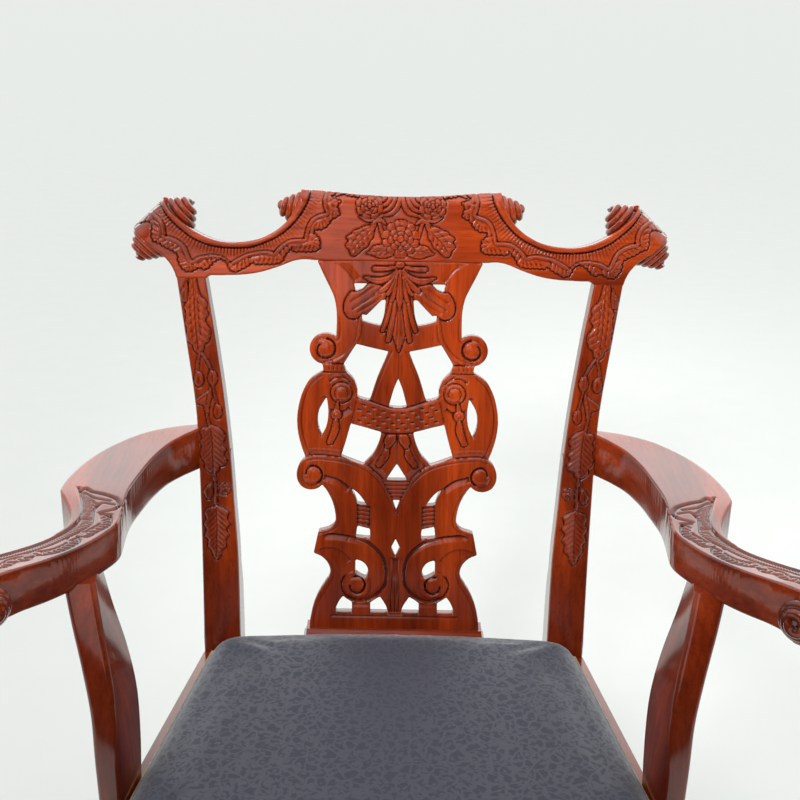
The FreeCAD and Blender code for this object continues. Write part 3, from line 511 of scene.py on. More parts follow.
def mahogany(name, along=None, red=(0.29, 0.034, 0.0042), dark=(0.10, 0.0098, 0.0016), shine=0.13):
    """Varnished mahogany, darkened near to black by the polish and painted shade in its hollows. Grain runs
    along an object axis, or on the mesh's own grain vectors.
    """
    made, tree, shader = new_material(name)
    if along is None:
        source = add_node(tree, "ShaderNodeAttribute", attribute_name="grain").outputs["Vector"]
        stretch = (1, 1, 0.055)
    else:
        source = add_node(tree, "ShaderNodeTexCoord").outputs["Object"]
        stretch = tuple(0.055 if axis == along else 1 for axis in "xyz")
    scaled = add_node(tree, "ShaderNodeVectorMath", operation="MULTIPLY")
    scaled.inputs[1].default_value = stretch
    link(tree, source, scaled.inputs[0])
    where = scaled.outputs["Vector"]
    broad = add_node(tree, "ShaderNodeTexNoise", Scale=26, Detail=3, Roughness=0.55, Distortion=0.4)
    fine = add_node(tree, "ShaderNodeTexNoise", Scale=210, Detail=4, Roughness=0.6)
    pores = add_node(tree, "ShaderNodeTexNoise", Scale=900, Detail=2, Roughness=0.5)
    cloud = add_node(tree, "ShaderNodeTexNoise", Scale=9, Detail=2, Roughness=0.5)
    for noise in (broad, fine, pores):
        link(tree, where, noise.inputs["Vector"])
    link(tree, source, cloud.inputs["Vector"])
    wood = color_ramp(tree, broad.outputs["Fac"], ((0.30, dark), (0.68, red)))
    streak = color_ramp(tree, fine.outputs["Fac"], ((0.36, (0.62, 0.5, 0.44)), (0.62, (1.1, 1.08, 1.05))))
    wood = mix(tree, "MULTIPLY", 0.6, wood, streak)
    pore = color_ramp(tree, pores.outputs["Fac"], ((0.30, (0.35, 0.26, 0.22)), (0.44, (1, 1, 1))))
    wood = mix(tree, "MULTIPLY", 0.55, wood, pore)
    shade = color_ramp(tree, cloud.outputs["Fac"], ((0.34, (0.66, 0.58, 0.5)), (0.66, (1.15, 1.25, 1.2))))
    wood = mix(tree, "MULTIPLY", 0.7, wood, shade)
    # Painted shade, with dark polish, in the hollows and between a whorl's turns: mixed in near to black.
    polish_and_shade = add_node(tree, "ShaderNodeAttribute", attribute_name="polish_and_shade").outputs["Fac"]
    wood = mix(tree, "MIX", polish_and_shade, wood, (0.016, 0.0030, 0.0016))
    link(tree, wood, shader.inputs["Base Color"])
    dull = add_node(tree, "ShaderNodeMapRange")
    dull.inputs["To Min"].default_value = shine + 0.20
    dull.inputs["To Max"].default_value = shine + 0.34
    link(tree, fine.outputs["Fac"], dull.inputs["Value"])
    link(tree, dull.outputs["Result"], shader.inputs["Roughness"])
    shader.inputs["IOR"].default_value = 1.5
    shader.inputs["Specular IOR Level"].default_value = 0.05
    shader.inputs["Coat Weight"].default_value = 1.0
    shader.inputs["Coat IOR"].default_value = 1.6
    shader.inputs["Coat Roughness"].default_value = shine
    bump = add_node(tree, "ShaderNodeBump", Strength=0.16, Distance=0.0004)
    link(tree, fine.outputs["Fac"], bump.inputs["Height"])
    link(tree, bump.outputs["Normal"], shader.inputs["Normal"])
    return made


def damask(name):
    """Dark blue upholstery woven with a tone-on-tone flower and scroll figure."""
    made, tree, shader = new_material(name)
    source = add_node(tree, "ShaderNodeTexCoord").outputs["Object"]
    bend = add_node(tree, "ShaderNodeTexNoise", Scale=38, Detail=3)
    link(tree, source, bend.inputs["Vector"])
    bent = add_node(tree, "ShaderNodeMix")
    bent.data_type = "VECTOR"
    bent.inputs["Factor"].default_value = 0.022
    link(tree, source, bent.inputs["A"])
    link(tree, bend.outputs["Color"], bent.inputs["B"])
    petals = add_node(tree, "ShaderNodeTexVoronoi", Scale=170, feature="SMOOTH_F1", Smoothness=0.25)
    stems = add_node(tree, "ShaderNodeTexVoronoi", Scale=84, feature="DISTANCE_TO_EDGE")
    for cells in (petals, stems):
        link(tree, bent.outputs["Result"], cells.inputs["Vector"])
    petal = color_ramp(tree, petals.outputs["Distance"], ((0.36, (1, 1, 1)), (0.48, (0, 0, 0))))
    stem = color_ramp(tree, stems.outputs["Distance"], ((0.06, (1, 1, 1)), (0.12, (0, 0, 0))))
    figure = mix(tree, "LIGHTEN", 1.0, petal, stem)
    weave = add_node(tree, "ShaderNodeTexNoise", Scale=1500, Detail=1)
    link(tree, source, weave.inputs["Vector"])
    yarn = color_ramp(tree, weave.outputs["Fac"], ((0.3, (0.6, 0.6, 0.62)), (0.7, (1.25, 1.25, 1.25))))
    cloth = mix(tree, "MIX", figure, (0.030, 0.035, 0.056), (0.038, 0.043, 0.066))
    link(tree, mix(tree, "MULTIPLY", 0.8, cloth, yarn), shader.inputs["Base Color"])
    gloss = add_node(tree, "ShaderNodeMapRange")
    gloss.inputs["To Min"].default_value = 0.82
    gloss.inputs["To Max"].default_value = 0.56
    link(tree, figure, gloss.inputs["Value"])
    link(tree, gloss.outputs["Result"], shader.inputs["Roughness"])
    shader.inputs["Sheen Weight"].default_value = 0.25
    shader.inputs["Sheen Roughness"].default_value = 0.45
    bump = add_node(tree, "ShaderNodeBump", Strength=0.35, Distance=0.0003)
    link(tree, mix(tree, "ADD", 0.4, weave.outputs["Fac"], figure), bump.inputs["Height"])
    link(tree, bump.outputs["Normal"], shader.inputs["Normal"])
    return made


def speckled(name, low, high, roughness, scale, metal=0.0):
    """A plain material broken up by fine noise."""
    made, tree, shader = new_material(name)
    source = add_node(tree, "ShaderNodeTexCoord").outputs["Object"]
    noise = add_node(tree, "ShaderNodeTexNoise", Scale=scale, Detail=4)
    link(tree, source, noise.inputs["Vector"])
    link(tree, color_ramp(tree, noise.outputs["Fac"], ((0.35, low), (0.65, high))),
         shader.inputs["Base Color"])
    shader.inputs["Roughness"].default_value = roughness
    shader.inputs["Metallic"].default_value = metal
    bump = add_node(tree, "ShaderNodeBump", Strength=0.2, Distance=0.0004)
    link(tree, noise.outputs["Fac"], bump.inputs["Height"])
    link(tree, bump.outputs["Normal"], shader.inputs["Normal"])
    return made


CARVED = mahogany("carved mahogany")
ACROSS = mahogany("mahogany with grain across", "x")
DEEP = mahogany("mahogany with grain front to back", "y")
UPRIGHT = mahogany("mahogany with upright grain", "z")
CLOTH = damask("blue damask")
PINE = speckled("secondary wood", (0.36, 0.24, 0.13), (0.50, 0.36, 0.21), 0.7, 60)
JUTE = speckled("jute webbing", (0.20, 0.13, 0.07), (0.36, 0.25, 0.14), 0.9, 400)
DUST = speckled("black dust cloth", (0.010, 0.010, 0.011), (0.030, 0.030, 0.032), 0.85, 600)
STEEL = speckled("screw steel", (0.38, 0.37, 0.35), (0.56, 0.55, 0.52), 0.35, 200, 1.0)


def finish(made, *nodes, slot="carved_mahogany", body="chair"):
    """Stands a piece in for its CAD nodes, on its body."""
    if nodes:
        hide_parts(*nodes)
    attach(made, body)


# ------------------------------------------------------------------ crest rail

CREST_EDGE = chain(
    [(0, 507.5), (20, 508), (50, 509.5), (75, 511.8), (100, 514), (111, 514.3)],
    [(111, 514.3), (113, 503), (117, 493.5), (122, 485), (129, 476.5), (140, 467.5), (155, 459.7),
     (170, 455.8), (186, 454.3), (200, 455), (215, 459), (230, 466.2), (243, 475)],
    [(243, 475), (256, 487), (267, 501.5)],
    [(267, 501.5), (302, 468.5)],
    [(302, 468.5), (290, 457), (278, 447), (266, 438.5), (258, 430), (253, 421), (250.7, 413.5)],
    [(250.7, 413.5), (217, 413.5)],
    [(217, 413.5), (213, 417), (200, 417.3), (175, 418.6), (155, 422), (135, 428.5), (120, 434.5),
     (108, 436.7), (97, 436)],
    [(97, 436), (-30, 436)],
    [(-30, 436), (-30, 507.5)],
    [(-30, 507.5), (0, 507.5)],
)
EAR = np.array((266.0, 469.0))
EAR_AXIS = np.array((-0.72, 0.69))
EAR_OUT = (0.69, 0.72)
EAR_RADIUS = 24.0
EAR_HALF_LONG = 22.0
TOP_ROLL_S = 496.0
TOP_ROLL_RADIUS = 18.5
TOP_ROLL_END = 104  # past this x the top edge's roll fades out
TOP_ROLL_FADE = 12
CREST_THICK = 26.0
CREST_BACK_ROUND = 3.0

CREST_BEAD = smooth([(106, 515), (108.5, 501), (115, 489), (125, 475.8), (137.5, 465.2),
                     (152.5, 457.6), (167.5, 453.1), (183, 451.6), (200, 452.2), (215, 455.5),
                     (230, 462.1), (241, 470.5), (252, 480), (261, 490), (268, 500)])
CREST_GROOVE = smooth([(101, 516), (102, 507), (104, 500), (112, 486), (122, 474), (135, 463),
                       (150, 455.5), (165, 450), (180, 448.3), (200, 448.8), (215, 451.5),
                       (230, 457.5), (243, 466.5), (255, 477.5), (263, 487), (271, 498)])
SCALLOPS = (
    [(284, 489), (275, 485), (266, 478), (262, 470), (261, 460)],
    [(262, 461), (254, 459), (246, 455), (239, 448), (233, 434)],
    [(232, 434), (225, 438), (215, 440), (205, 440.5), (197, 438), (190, 432)],
    [(190, 432), (182, 437), (172, 442), (160, 445), (150, 446), (141, 444.5)],
    [(141, 444.5), (136, 450), (130, 455), (122, 459), (108, 460)],
    [(108, 460), (106, 468), (103, 477), (97, 484), (84, 489)],
    [(84, 489), (86.5, 497), (86.5, 505), (84, 513)],
)
RUFFLE = [
    (300, 471), (292, 474), (285, 476), (279, 475), (276, 470), (276.5, 464), (275, 455), (268, 452),
    (262, 448), (255, 445), (248, 440), (247, 432), (243, 425), (238, 421.5), (232, 422.5),
    (225, 426), (218, 424), (213, 428), (208, 433), (200, 436), (193, 432), (190, 425),
    (184, 422), (178, 425), (172, 428), (165, 433), (160, 431), (150, 431.5), (141, 431.5),
    (133, 434), (130, 440), (125, 446), (121, 450), (119, 446), (110, 446), (100, 446),
    (92, 448), (90.5, 455), (92, 461), (97, 465), (96, 470), (88, 471), (82, 475), (77, 482),
    (69, 487), (71.5, 496), (68, 501), (73, 503), (78, 506), (74, 510), (66, 510), (58, 508),
    (50, 507),
]


def past_ear(x, s):
    """Distance outwards from the axis of the nearer ear."""
    return (np.abs(x) - EAR[0]) * EAR_OUT[0] + (s - EAR[1]) * EAR_OUT[1]


def in_middle(x):
    """1 along the crest's rolled top edge, and 0 out at its hollows and ears."""
    return 1 - ease((np.abs(x) - TOP_ROLL_END) / TOP_ROLL_FADE)


def crest_front(x, s):
    """The plain face: flat, rolled back over the top edge and at the ears."""
    rise = np.clip(s - TOP_ROLL_S, 0, TOP_ROLL_RADIUS)
    roll = np.sqrt(TOP_ROLL_RADIUS ** 2 - rise ** 2) - TOP_ROLL_RADIUS
    ear = np.sqrt(EAR_RADIUS ** 2 - np.clip(past_ear(x, s), 0, EAR_RADIUS) ** 2) - EAR_RADIUS
    return roll * in_middle(x) + ear


def crest_back(x, s):
    """How far behind the back plane the crest's rear face lies."""
    rise = np.clip(s - TOP_ROLL_S, -TOP_ROLL_RADIUS, TOP_ROLL_RADIUS)
    roll = TOP_ROLL_RADIUS + np.sqrt(TOP_ROLL_RADIUS ** 2 - rise ** 2)
    out = past_ear(x, s)
    along_ear = (np.abs(x) - EAR[0]) * EAR_AXIS[0] + (s - EAR[1]) * EAR_AXIS[1]
    ear = EAR_RADIUS + np.sqrt(EAR_RADIUS ** 2 - np.clip(out, -EAR_RADIUS, EAR_RADIUS) ** 2)
    ear *= ease((EAR_HALF_LONG + 3 - np.abs(along_ear)) / 6)
    return np.maximum(CREST_THICK, np.maximum(roll * in_middle(x), ear))


def serrated(line, pitch, depth):
    """A line with small even notches cut into its left side."""
    line = np.asarray(line, float)
    step = np.hypot(*np.diff(line, axis=0).T)
    place = np.concatenate([[0], np.cumsum(step)])
    even = np.arange(0, place[-1], pitch / 8)
    x, s = np.interp(even, place, line[:, 0]), np.interp(even, place, line[:, 1])
    dx, ds = np.gradient(x), np.gradient(s)
    size = np.maximum(np.hypot(dx, ds), 1e-9)
    notch = depth * np.abs(np.sin(math.pi * even / pitch)) ** 0.7
    return np.stack([x - ds / size * notch, s + dx / size * notch], 1)


def carve_ruffle(face):
    """The leafy border that follows the crest's hollows, with its fluted band."""
    plain_edge = smooth(RUFFLE)
    edge = serrated(plain_edge, 5.2, 1.3)
    outer = [(50, 530), (330, 530), (330, 471)]
    inside = depth_in(face.x, face.s, np.vstack([edge, outer]))
    raised = ease(inside / 1.4 + 0.2)
    face.h += 1.8 * raised
    band, place, side = along(face.x, face.s, CREST_GROOVE)
    below = side < 0
    flutes = 0.5 + 0.5 * np.cos(2 * math.pi * place * 62)
    loop = np.vstack([smooth(line)[:-1] for line in SCALLOPS] + [[(84, 530), (330, 530)]])
    in_band = depth_in(face.x, face.s, loop)
    fluted = ease(in_band / 0.8 + 0.4) * below
    dip = 1.2 * ease(in_band / 3) * fluted
    cut = 1.2 * flutes ** 2 * np.exp(-np.clip(band - 2.5, 0, 99) / 7) * fluted * ease(in_band / 3)
    face.h -= 0.7 * fluted + 0.5 * dip + cut
    leafy = raised * (1 - fluted)
    distance, edge_place, _ = along(face.x, face.s, plain_edge)
    length = np.hypot(*np.diff(plain_edge, axis=0).T).sum()
    gouges = (0.5 + 0.5 * np.cos(2 * math.pi * (edge_place * length - 0.45 * distance) / 5.2)) ** 2
    face.h -= 1.0 * gouges * leafy * ease((distance - 0.6) / 1.2) * (1 - ease((distance - 4.5) / 4))
    face.h += 0.8 * np.exp(-((in_band + 2.3) / 1.1) ** 2) * leafy
    face.h -= 0.7 * np.exp(-((in_band + 5.0) / 1.3) ** 2) * leafy
    for line in SCALLOPS:
        face.groove(smooth(line), 0.95, 1.5)
    face.groove(edge, 0.9, 1.3)


def carve_crest_bead(face):
    """The raised bead round the crest's hollows."""
    _, _, side = along(face.x, face.s, CREST_GROOVE)
    beyond = (side > 0) & (face.x > 98)
    centre, _, _ = along(face.x, face.s, CREST_BEAD)
    round_top = np.sqrt(np.clip(1 - (centre / 5.0) ** 2, 0, 1))
    face.h = np.where(beyond, 0.2 + 2.2 * round_top, face.h)
    face.groove(CREST_GROOVE, 1.1, 2.2)


def carve_crest_sprays(face):
    """Leaves, strands and rosettes in the middle of the crest."""
    face.leaf([(10, 452), (16, 454.5), (23, 454.4), (30, 452.5), (34, 448), (38, 444.7), (33, 443),
               (29.7, 441.8), (24, 439.5), (18, 439.6), (12, 441), (8, 444)],
              [(10, 447), (22, 447.5), (36, 445)], 1.7, 0.3, 6.5, 0.5)
    face.leaf([(26, 479), (33, 476), (40, 475), (46, 471.5), (51, 470), (55, 466), (60.5, 462),
               (58, 458), (61, 453), (57, 448), (55, 442.5), (50, 441.5), (45, 446), (41, 449.5),
               (37, 452), (34.5, 458), (31, 462), (30, 469)],
              [(27, 477), (37, 466), (47, 456), (54, 446)], 1.9, 0.3, 7.0, 0.9, 0.6)
    for line in ([(33, 473), (42, 469), (49, 463), (53, 456)], [(32, 467), (37, 459), (42, 454), (47, 449)]):
        face.groove(smooth(line), 0.8, 0.8)
    face.lobe([(24, 478), (21.5, 470), (20, 462)], [2.0, 2.0, 1.4], 1.4, 0.2)
    for spine, widths in (
            ([(1.5, 511), (3, 500), (9, 490.5), (20, 486)], [2.2, 3.2, 3.0, 1.2]),
            ([(6, 511), (9, 501), (14, 494), (22, 491)], [2.2, 3.0, 2.8, 1.2]),
            ([(11, 511), (13, 504), (17, 499), (23, 497)], [2.2, 2.8, 2.4, 1.0]),
            ([(16, 511), (18, 506), (21, 503), (26, 502)], [2.2, 2.4, 2.0, 1.0]),
            ([(20, 487), (27, 482.5), (36, 481), (46, 485)], [1.2, 2.2, 2.2, 0.8]),
            ([(17, 477), (22, 481), (28, 480), (33, 476)], [1.0, 2.4, 2.4, 0.8]),
            ([(26, 511.5), (27, 506)], [2.6, 2.2]),
            ([(32, 511.5), (32.5, 506)], [2.6, 2.2]),
            ([(38, 511.5), (38.5, 506)], [2.6, 2.2]),
            ([(44, 511.5), (44, 505)], [2.4, 2.0]),
            ([(72, 508), (64, 512), (55, 511), (48, 507)], [1.2, 2.6, 2.8, 1.0]),
    ):
        face.lobe(spine, widths, 1.8, 0.2)
    face.flower((35, 497), 15.5, 8, 6, 0.3)
    face.flower((0, 461), 21.3, 11, 8, 0.285)


def make_crest():
    """The crest rail, with its ears, hollows and carved face."""
    face = Face(0, 308, 404, 520, 0.9)
    face.outline(CREST_EDGE)
    carve_ruffle(face)
    carve_crest_bead(face)
    carve_crest_sprays(face)
    face.groove([(97, 437.5), (110, 438)], 0.8, 0.4)
    face.round_edges(1.6)

    def behind(x, s, solid):
        near_edge = np.clip(CREST_BACK_ROUND - solid, 0, CREST_BACK_ROUND)
        rounded = CREST_BACK_ROUND - np.sqrt(CREST_BACK_ROUND ** 2 - near_edge ** 2)
        return rounded - crest_back(x, s)

    made = slab("carved_crest_rail", face.doubled(), on_back, behind, CARVED, "x", crest_front)
    finish(made, "crest_rail")


# ------------------------------------------------------------------ splat

SPLAT_THICK = 15.0
BARS_SUNK = 2.6
SPLAT_EDGE = chain(
    [(-30, 436), (93, 436)],
    [(93, 436), (86, 421), (79, 407), (74, 396), (71.3, 384), (70.5, 370), (71, 349.5)],
    [(71, 349.5), (76.5, 352.8), (83.5, 354), (92.3, 351.7), (98.7, 345.3), (101, 336.5),
     (98.7, 327.7), (92.5, 321.3), (86, 319)],
    [(86, 319), (85, 311.5)],
    [(85, 311.5), (100, 301.5), (108.5, 287), (113.3, 270), (115, 254), (113.5, 238),
     (110, 224), (105, 209.5)],
    [(105, 209.5), (111.5, 203.5), (115, 194), (114.5, 184), (109.5, 176), (101, 172.3),
     (92, 173.5), (85.5, 178.2)],
    [(85.5, 178.2), (79.5, 170), (74, 159), (70.8, 147), (70, 136), (73, 129.5),
     (79, 125.5), (90, 122.3)],
    [(90, 122.3), (95.3, 96.5)],
    [(95.3, 96.5), (86.5, 92.5), (79.5, 86), (75.8, 77), (77, 68), (82, 59.5), (89, 48),
     (94.5, 35), (98, 21), (99.5, 8), (100, -10)],
    [(100, -10), (-30, -10)],
    [(-30, -10), (-30, 436)],
)
SPLAT_HOLES = [
    chain([(0, 303.5), (5, 291), (10.5, 270.8)], [(10.5, 270.8), (0, 269.8), (-10.5, 270.8)],
          [(-10.5, 270.8), (-5, 291), (0, 303.5)]),
    [(0, 204.5), (12.5, 185), (-12.5, 185)],
    [(4.5, 161), (0, 147), (-4.5, 161)],
    [(0, 115), (5.5, 103.5), (0, 91.5), (-5.5, 103.5)],
    [(36, 411), (51.5, 411), (50, 402), (42, 405)],
    chain([(15.5, 393), (20, 393)], [(20, 393), (29, 383.5), (37, 375.5)],
          [(37, 375.5), (42.5, 376)], [(42.5, 376), (42, 368.8)],
          [(42, 368.8), (32, 366), (21, 363.7)], [(21, 363.7), (17.5, 375), (15.5, 393)]),
    chain([(48, 342.5), (30, 338.3), (11.5, 334.5)], [(11.5, 334.5), (16, 323), (24, 303.5), (32, 278)],
          [(32, 278), (39, 279.3), (46.2, 281.5)],
          [(46.2, 281.5), (46.8, 292), (51, 301.5), (59.5, 310.8)],
          [(59.5, 310.8), (62.5, 319)], [(62.5, 319), (56.5, 329), (48, 342.5)]),
    chain([(81, 281.5), (89, 268), (91.7, 255), (90, 243.5), (86.8, 235)],
          [(86.8, 235), (81.5, 247), (79.3, 262), (81, 281.5)]),
    chain([(53.5, 250.5), (38, 246.5), (18, 241)], [(18, 241), (21, 229), (27, 215.5), (38.5, 202.3)],
          [(38.5, 202.3), (50, 206.5), (64.5, 212)], [(64.5, 212), (59.5, 228), (53.5, 250.5)]),
    chain([(52.5, 175), (45, 169.5), (39, 162.5), (34, 154.5)], [(34, 154.5), (45, 155.8)],
          [(45, 155.8), (48, 165), (52.5, 175)]),
    [(30, 126.5), (44.5, 130), (46.5, 115.8), (29.5, 114.5)],
    chain([(46.5, 89.5), (38.5, 86.8), (33, 81), (31.5, 74), (34.5, 66)],
          [(34.5, 66), (41, 69), (46.5, 72.5)], [(46.5, 72.5), (46.5, 89.5)]),
    chain([(7.5, 24), (10, 33), (17, 44.2)], [(17, 44.2), (22, 41.5), (28.5, 37)],
          [(28.5, 37), (28.5, 24)], [(28.5, 24), (7.5, 24)]),
    chain([(50, 37.5), (56, 41), (60.5, 44.5)], [(60.5, 44.5), (65, 38.5), (69, 30)],
          [(69, 30), (69, 24)], [(69, 24), (50, 24)], [(50, 24), (50, 37.5)]),
]
SWAG_TOP = smooth([(-2, 269.4), (0, 269.5), (11, 270.5), (32, 277.5), (46, 281)])
SWAG_FOOT = smooth([(-2, 239.4), (0, 239.5), (12, 240), (25, 242.5), (40, 247), (53, 250)])
SWAG_SHAPE = np.vstack([SWAG_TOP, SWAG_FOOT[::-1]])
SWAG_HALF_WIDE = 48
DASH_PITCH = 11.0
DASH_HALF = 1.6
SCROLL_TOP = smooth([(113, 199), (110, 204), (105, 209), (98, 211.3), (92, 212), (80, 211.5),
                     (64, 209.5), (50, 206), (38, 202), (30, 197), (22, 190), (16, 183),
                     (10, 172), (5, 161), (0, 147)])
SCROLL_FOOT = smooth([(86, 183), (83, 190), (78, 189), (70, 187), (62, 183), (52, 175)])
CURL_EDGE = smooth([(90, 116), (78, 120.5), (63, 120), (47, 117), (36, 114), (27, 109), (18, 101),
                    (12, 92), (9, 80), (8, 68), (10, 58), (15, 50), (22, 43), (30, 38.5),
                    (38, 36.5), (46, 37), (54, 41), (61, 49), (64, 58), (62, 66), (58, 71),
                    (50, 73)])


def carve_fan(face):
    """The palmette under the crest: a fluted tail, spreading lobes over it and a bead."""
    for spine, widths in (
            ([(8.5, 392), (13, 374), (18.5, 358)], [2.6, 3.0, 3.2, 2.2]),
            ([(4.5, 392), (8, 368), (12, 347)], [2.4, 3.4, 3.9, 2.6]),
            ([(0, 390), (0, 364), (0, 335)], [2.8, 5.0, 7.2, 1.2]),
    ):
        face.lobe(spine, widths, 2.2, 0.2)
    face.groove([(1.2, 388), (3, 340)], 0.8, 1.0)
    for spine, widths in (
            ([(3, 430), (14, 428), (28, 427.5)], [1.6, 2.4, 3.0, 3.0]),
            ([(3, 428), (10, 419), (24, 414), (40, 418)], [1.2, 3.2, 4.2, 0.9]),
            ([(2.4, 427), (7, 416), (14, 408), (21, 403)], [1.0, 2.8, 4.2, 3.2]),
            ([(2, 426), (5, 414), (9.5, 405), (13.5, 399.5)], [1.0, 2.4, 3.4, 2.4]),
            ([(1.4, 426), (3.4, 412), (6.4, 400), (9, 392.5)], [0.9, 2.2, 3.0, 2.6]),
            ([(0, 427), (0, 405), (0, 381)], [1.2, 3.0, 4.6, 1.0]),
    ):
        face.lobe(spine, widths, 2.8, 0.2, 0.8)
    face.dome((0, 433), 5.1, 3.6, 0.4)


def carve_side_leaf(face):
    """A broad folded leaf, either side of the palmette."""
    face.leaf([(20, 408), (29, 411), (36, 410.5), (43, 404), (51, 402), (54.6, 401.6), (60.5, 393),
               (62.5, 385), (61, 377), (56, 372), (50, 371), (44.5, 374), (40.7, 376.6), (37, 375),
               (30, 380), (22.6, 387.5), (16.7, 393.5), (15, 401)],
              [(22, 406), (27.6, 401), (32, 395.5), (42, 389), (52, 382.5)], 2.4, 0.4, 40, 0.0)
    face.groove(smooth([(28, 408), (36, 403), (44, 397), (54, 391)]), 1.2, 0.5)
    face.groove(smooth([(20, 397), (28, 390), (38, 384), (46, 379)]), 1.2, 0.5)


def carve_upper_strap(face):
    """Shoulders of the splat, the moulded edge that leads to the volute, and the collar."""
    face.ledge(smooth([(93, 433), (80, 435), (70, 432), (60, 424), (50, 411)]), 0.9, 9, left=False)
    lip = smooth([(45.5, 376), (48, 362), (50.5, 352), (56, 341), (64, 331), (74, 324.5), (84, 322)])
    face.groove(lip, 0.9, 1.1)
    face.bead(smooth([(43.5, 373), (45, 362), (47, 350), (53, 338.5), (62, 328), (73, 321.5)]), 2.0, 1.2)
    outer = smooth([(68, 372), (67, 360), (68, 349), (72, 345)])
    face.groove(outer, 0.9, 0.8)
    face.volute((83.0, 337), 10.5, 40, -300, 3.0)
    w = face.near([(60, 309), (87, 321)])
    x, s = face.x[w], face.s[w]
    belt = (s < 318.5 + 0.08 * (x - 62)) & (s > 310.5) & (x > 58)
    ribs = 1.6 * np.abs(np.cos(math.pi * (x - 61.5) / 4.8)) ** 0.6
    face.h[w] = np.where(belt, ribs + 0.2, face.h[w])
    face.groove([(59, 319.6), (87, 319.6)], 0.8, 1.2)
    face.groove([(59, 310), (86, 310)], 0.8, 1.2)


def carve_loops(face):
    """The side loops with their bulbs, tassels and moulded edges."""
    ring = smooth([(88, 306), (99, 296), (105.5, 283), (109, 268), (110, 254), (108.6, 240),
                   (105.5, 228), (100, 214)])
    face.groove(ring, 0.9, 0.8)
    inner = smooth([(64, 307), (55, 299), (50.5, 290), (49.5, 283)])
    face.groove(inner, 0.8, 0.8)
    cup = smooth([(78, 297), (70, 302.5), (60, 301), (51.5, 294), (49, 284)])
    face.ledge(cup, 1.2, 7, left=False)
    face.dome((64.5, 286.5), 12.0, 4.2, 0.0, 1.2)
    face.groove(arc((64.5, 286.5), 7.4, 200, -40), 1.1, 1.3)
    under = smooth([(82, 284), (80, 272), (74, 267), (63, 266), (55, 272)])
    face.ledge(under, 1.5, 8, left=True)
    face.lobe([(68, 277), (69, 271), (70, 266)], [1.6, 2.2, 2.6], 1.8, 0.2)
    face.dome((70, 261), 6.2, 2.6, 0.2)
    face.dome((70, 261), 2.2, 0.8, 2.6, 0.8)
    tassel(face, [(70.5, 254), (71.5, 243), (77, 229)], 4.2)


def tassel(face, spine, half):
    """A hanging tail with two flutes."""
    face.lobe(spine, [half * 0.6, half, half * 0.95, half * 0.8], 2.4, 0.2)
    line = smooth(spine)
    for shift in (-1.3, 1.3):
        face.groove(line + (shift, 0), 0.7, 0.8)


def carve_swag(face):
    """The draped band that runs over the crossing straps, with rows of punched dashes."""
    inside = depth_in(face.x, face.s, SWAG_SHAPE)
    swell = np.sqrt(np.clip(1 - np.clip(1 - inside / 5, 0, 1) ** 2, 0, 1))
    face.h = np.where(inside > 0, 0.4 + 1.5 * swell, face.h)
    for line in (SWAG_TOP, SWAG_FOOT):
        face.groove(line, 0.9, 1.6)
    for lift, shift in ((0.2, 0.0), (0.4, 0.5), (0.6, 0.0), (0.8, 0.5)):
        for x in np.arange(DASH_PITCH * shift, SWAG_HALF_WIDE, DASH_PITCH):
            top = np.interp(x, SWAG_TOP[:, 0], SWAG_TOP[:, 1])
            foot = np.interp(x, SWAG_FOOT[:, 0], SWAG_FOOT[:, 1])
            s = foot + (top - foot) * lift
            rise = DASH_HALF * 0.22 * x / 46
            face.groove([(x - DASH_HALF, s - rise), (x + DASH_HALF, s + rise)], 0.95, 1.5)


def carve_knot(face):
    """The tassel that hangs from the swag where the straps cross."""
    tassel(face, [(11, 223), (14, 213), (20.5, 203)], 4.2)
    face.lobe([(3.4, 240), (8, 233), (10.8, 225)], [2.4, 5.8, 6.0, 3.4], 2.6, 0.3)
    face.groove([(5, 236), (8, 229)], 0.7, 0.8)
    face.groove([(0, 240), (0, 206)], 0.8, 1.0)
    strap = smooth([(33, 277), (25.5, 300), (18, 320), (11, 336)])
    face.groove(strap - (3.0, 1.0), 0.8, 0.7)
    low = smooth([(17, 240), (20.5, 228), (26, 216), (36, 203)])
    face.groove(low - (3.4, 1.2), 0.8, 0.7)
    face.groove([(0, 334), (0, 304)], 0.7, 0.45)


def carve_scrolls(face):
    """The C-scrolls that lap over the loops, and the ribbed bars between them."""
    face.ledge(SCROLL_TOP, 1.7, 11, left=False)
    face.ledge(SCROLL_FOOT, 1.7, 9, left=True)
    rim = smooth([(104, 206), (94, 208.6), (80, 208), (65, 206), (51, 202.6), (39.5, 198.4),
                  (31.5, 193.6), (23.6, 186.6), (17.6, 179.6), (12, 169.8), (7, 159), (1.6, 145)])
    face.groove(rim, 0.8, 0.7)
    face.volute((97.0, 189.5), 10.4, 12, 226, 2.4)
    spine = smooth([(52, 172), (46, 160), (44, 146), (46, 132), (52, 120), (58, 108)])
    face.groove(spine, 0.7, 0.25)
    x, s = face.x, face.s
    middle = (x < 16 - (184 - s) * 0.5) & (s > 161.5) & (s < 184.5)
    carve_bars(face, middle, s - 162, 4.6)
    slant = s - 0.14 * (x - 37)
    outer = (slant > 130) & (slant < 154.5) & (x > 30) & (x < 45)
    carve_bars(face, outer, slant - 130, 4.9)


def carve_bars(face, region, height, pitch):
    """A sunk stack of level bars, a pitch apart."""
    bars = np.abs(np.cos(math.pi * height / pitch)) ** 0.5
    face.h = np.where(region, bars - BARS_SUNK, face.h)


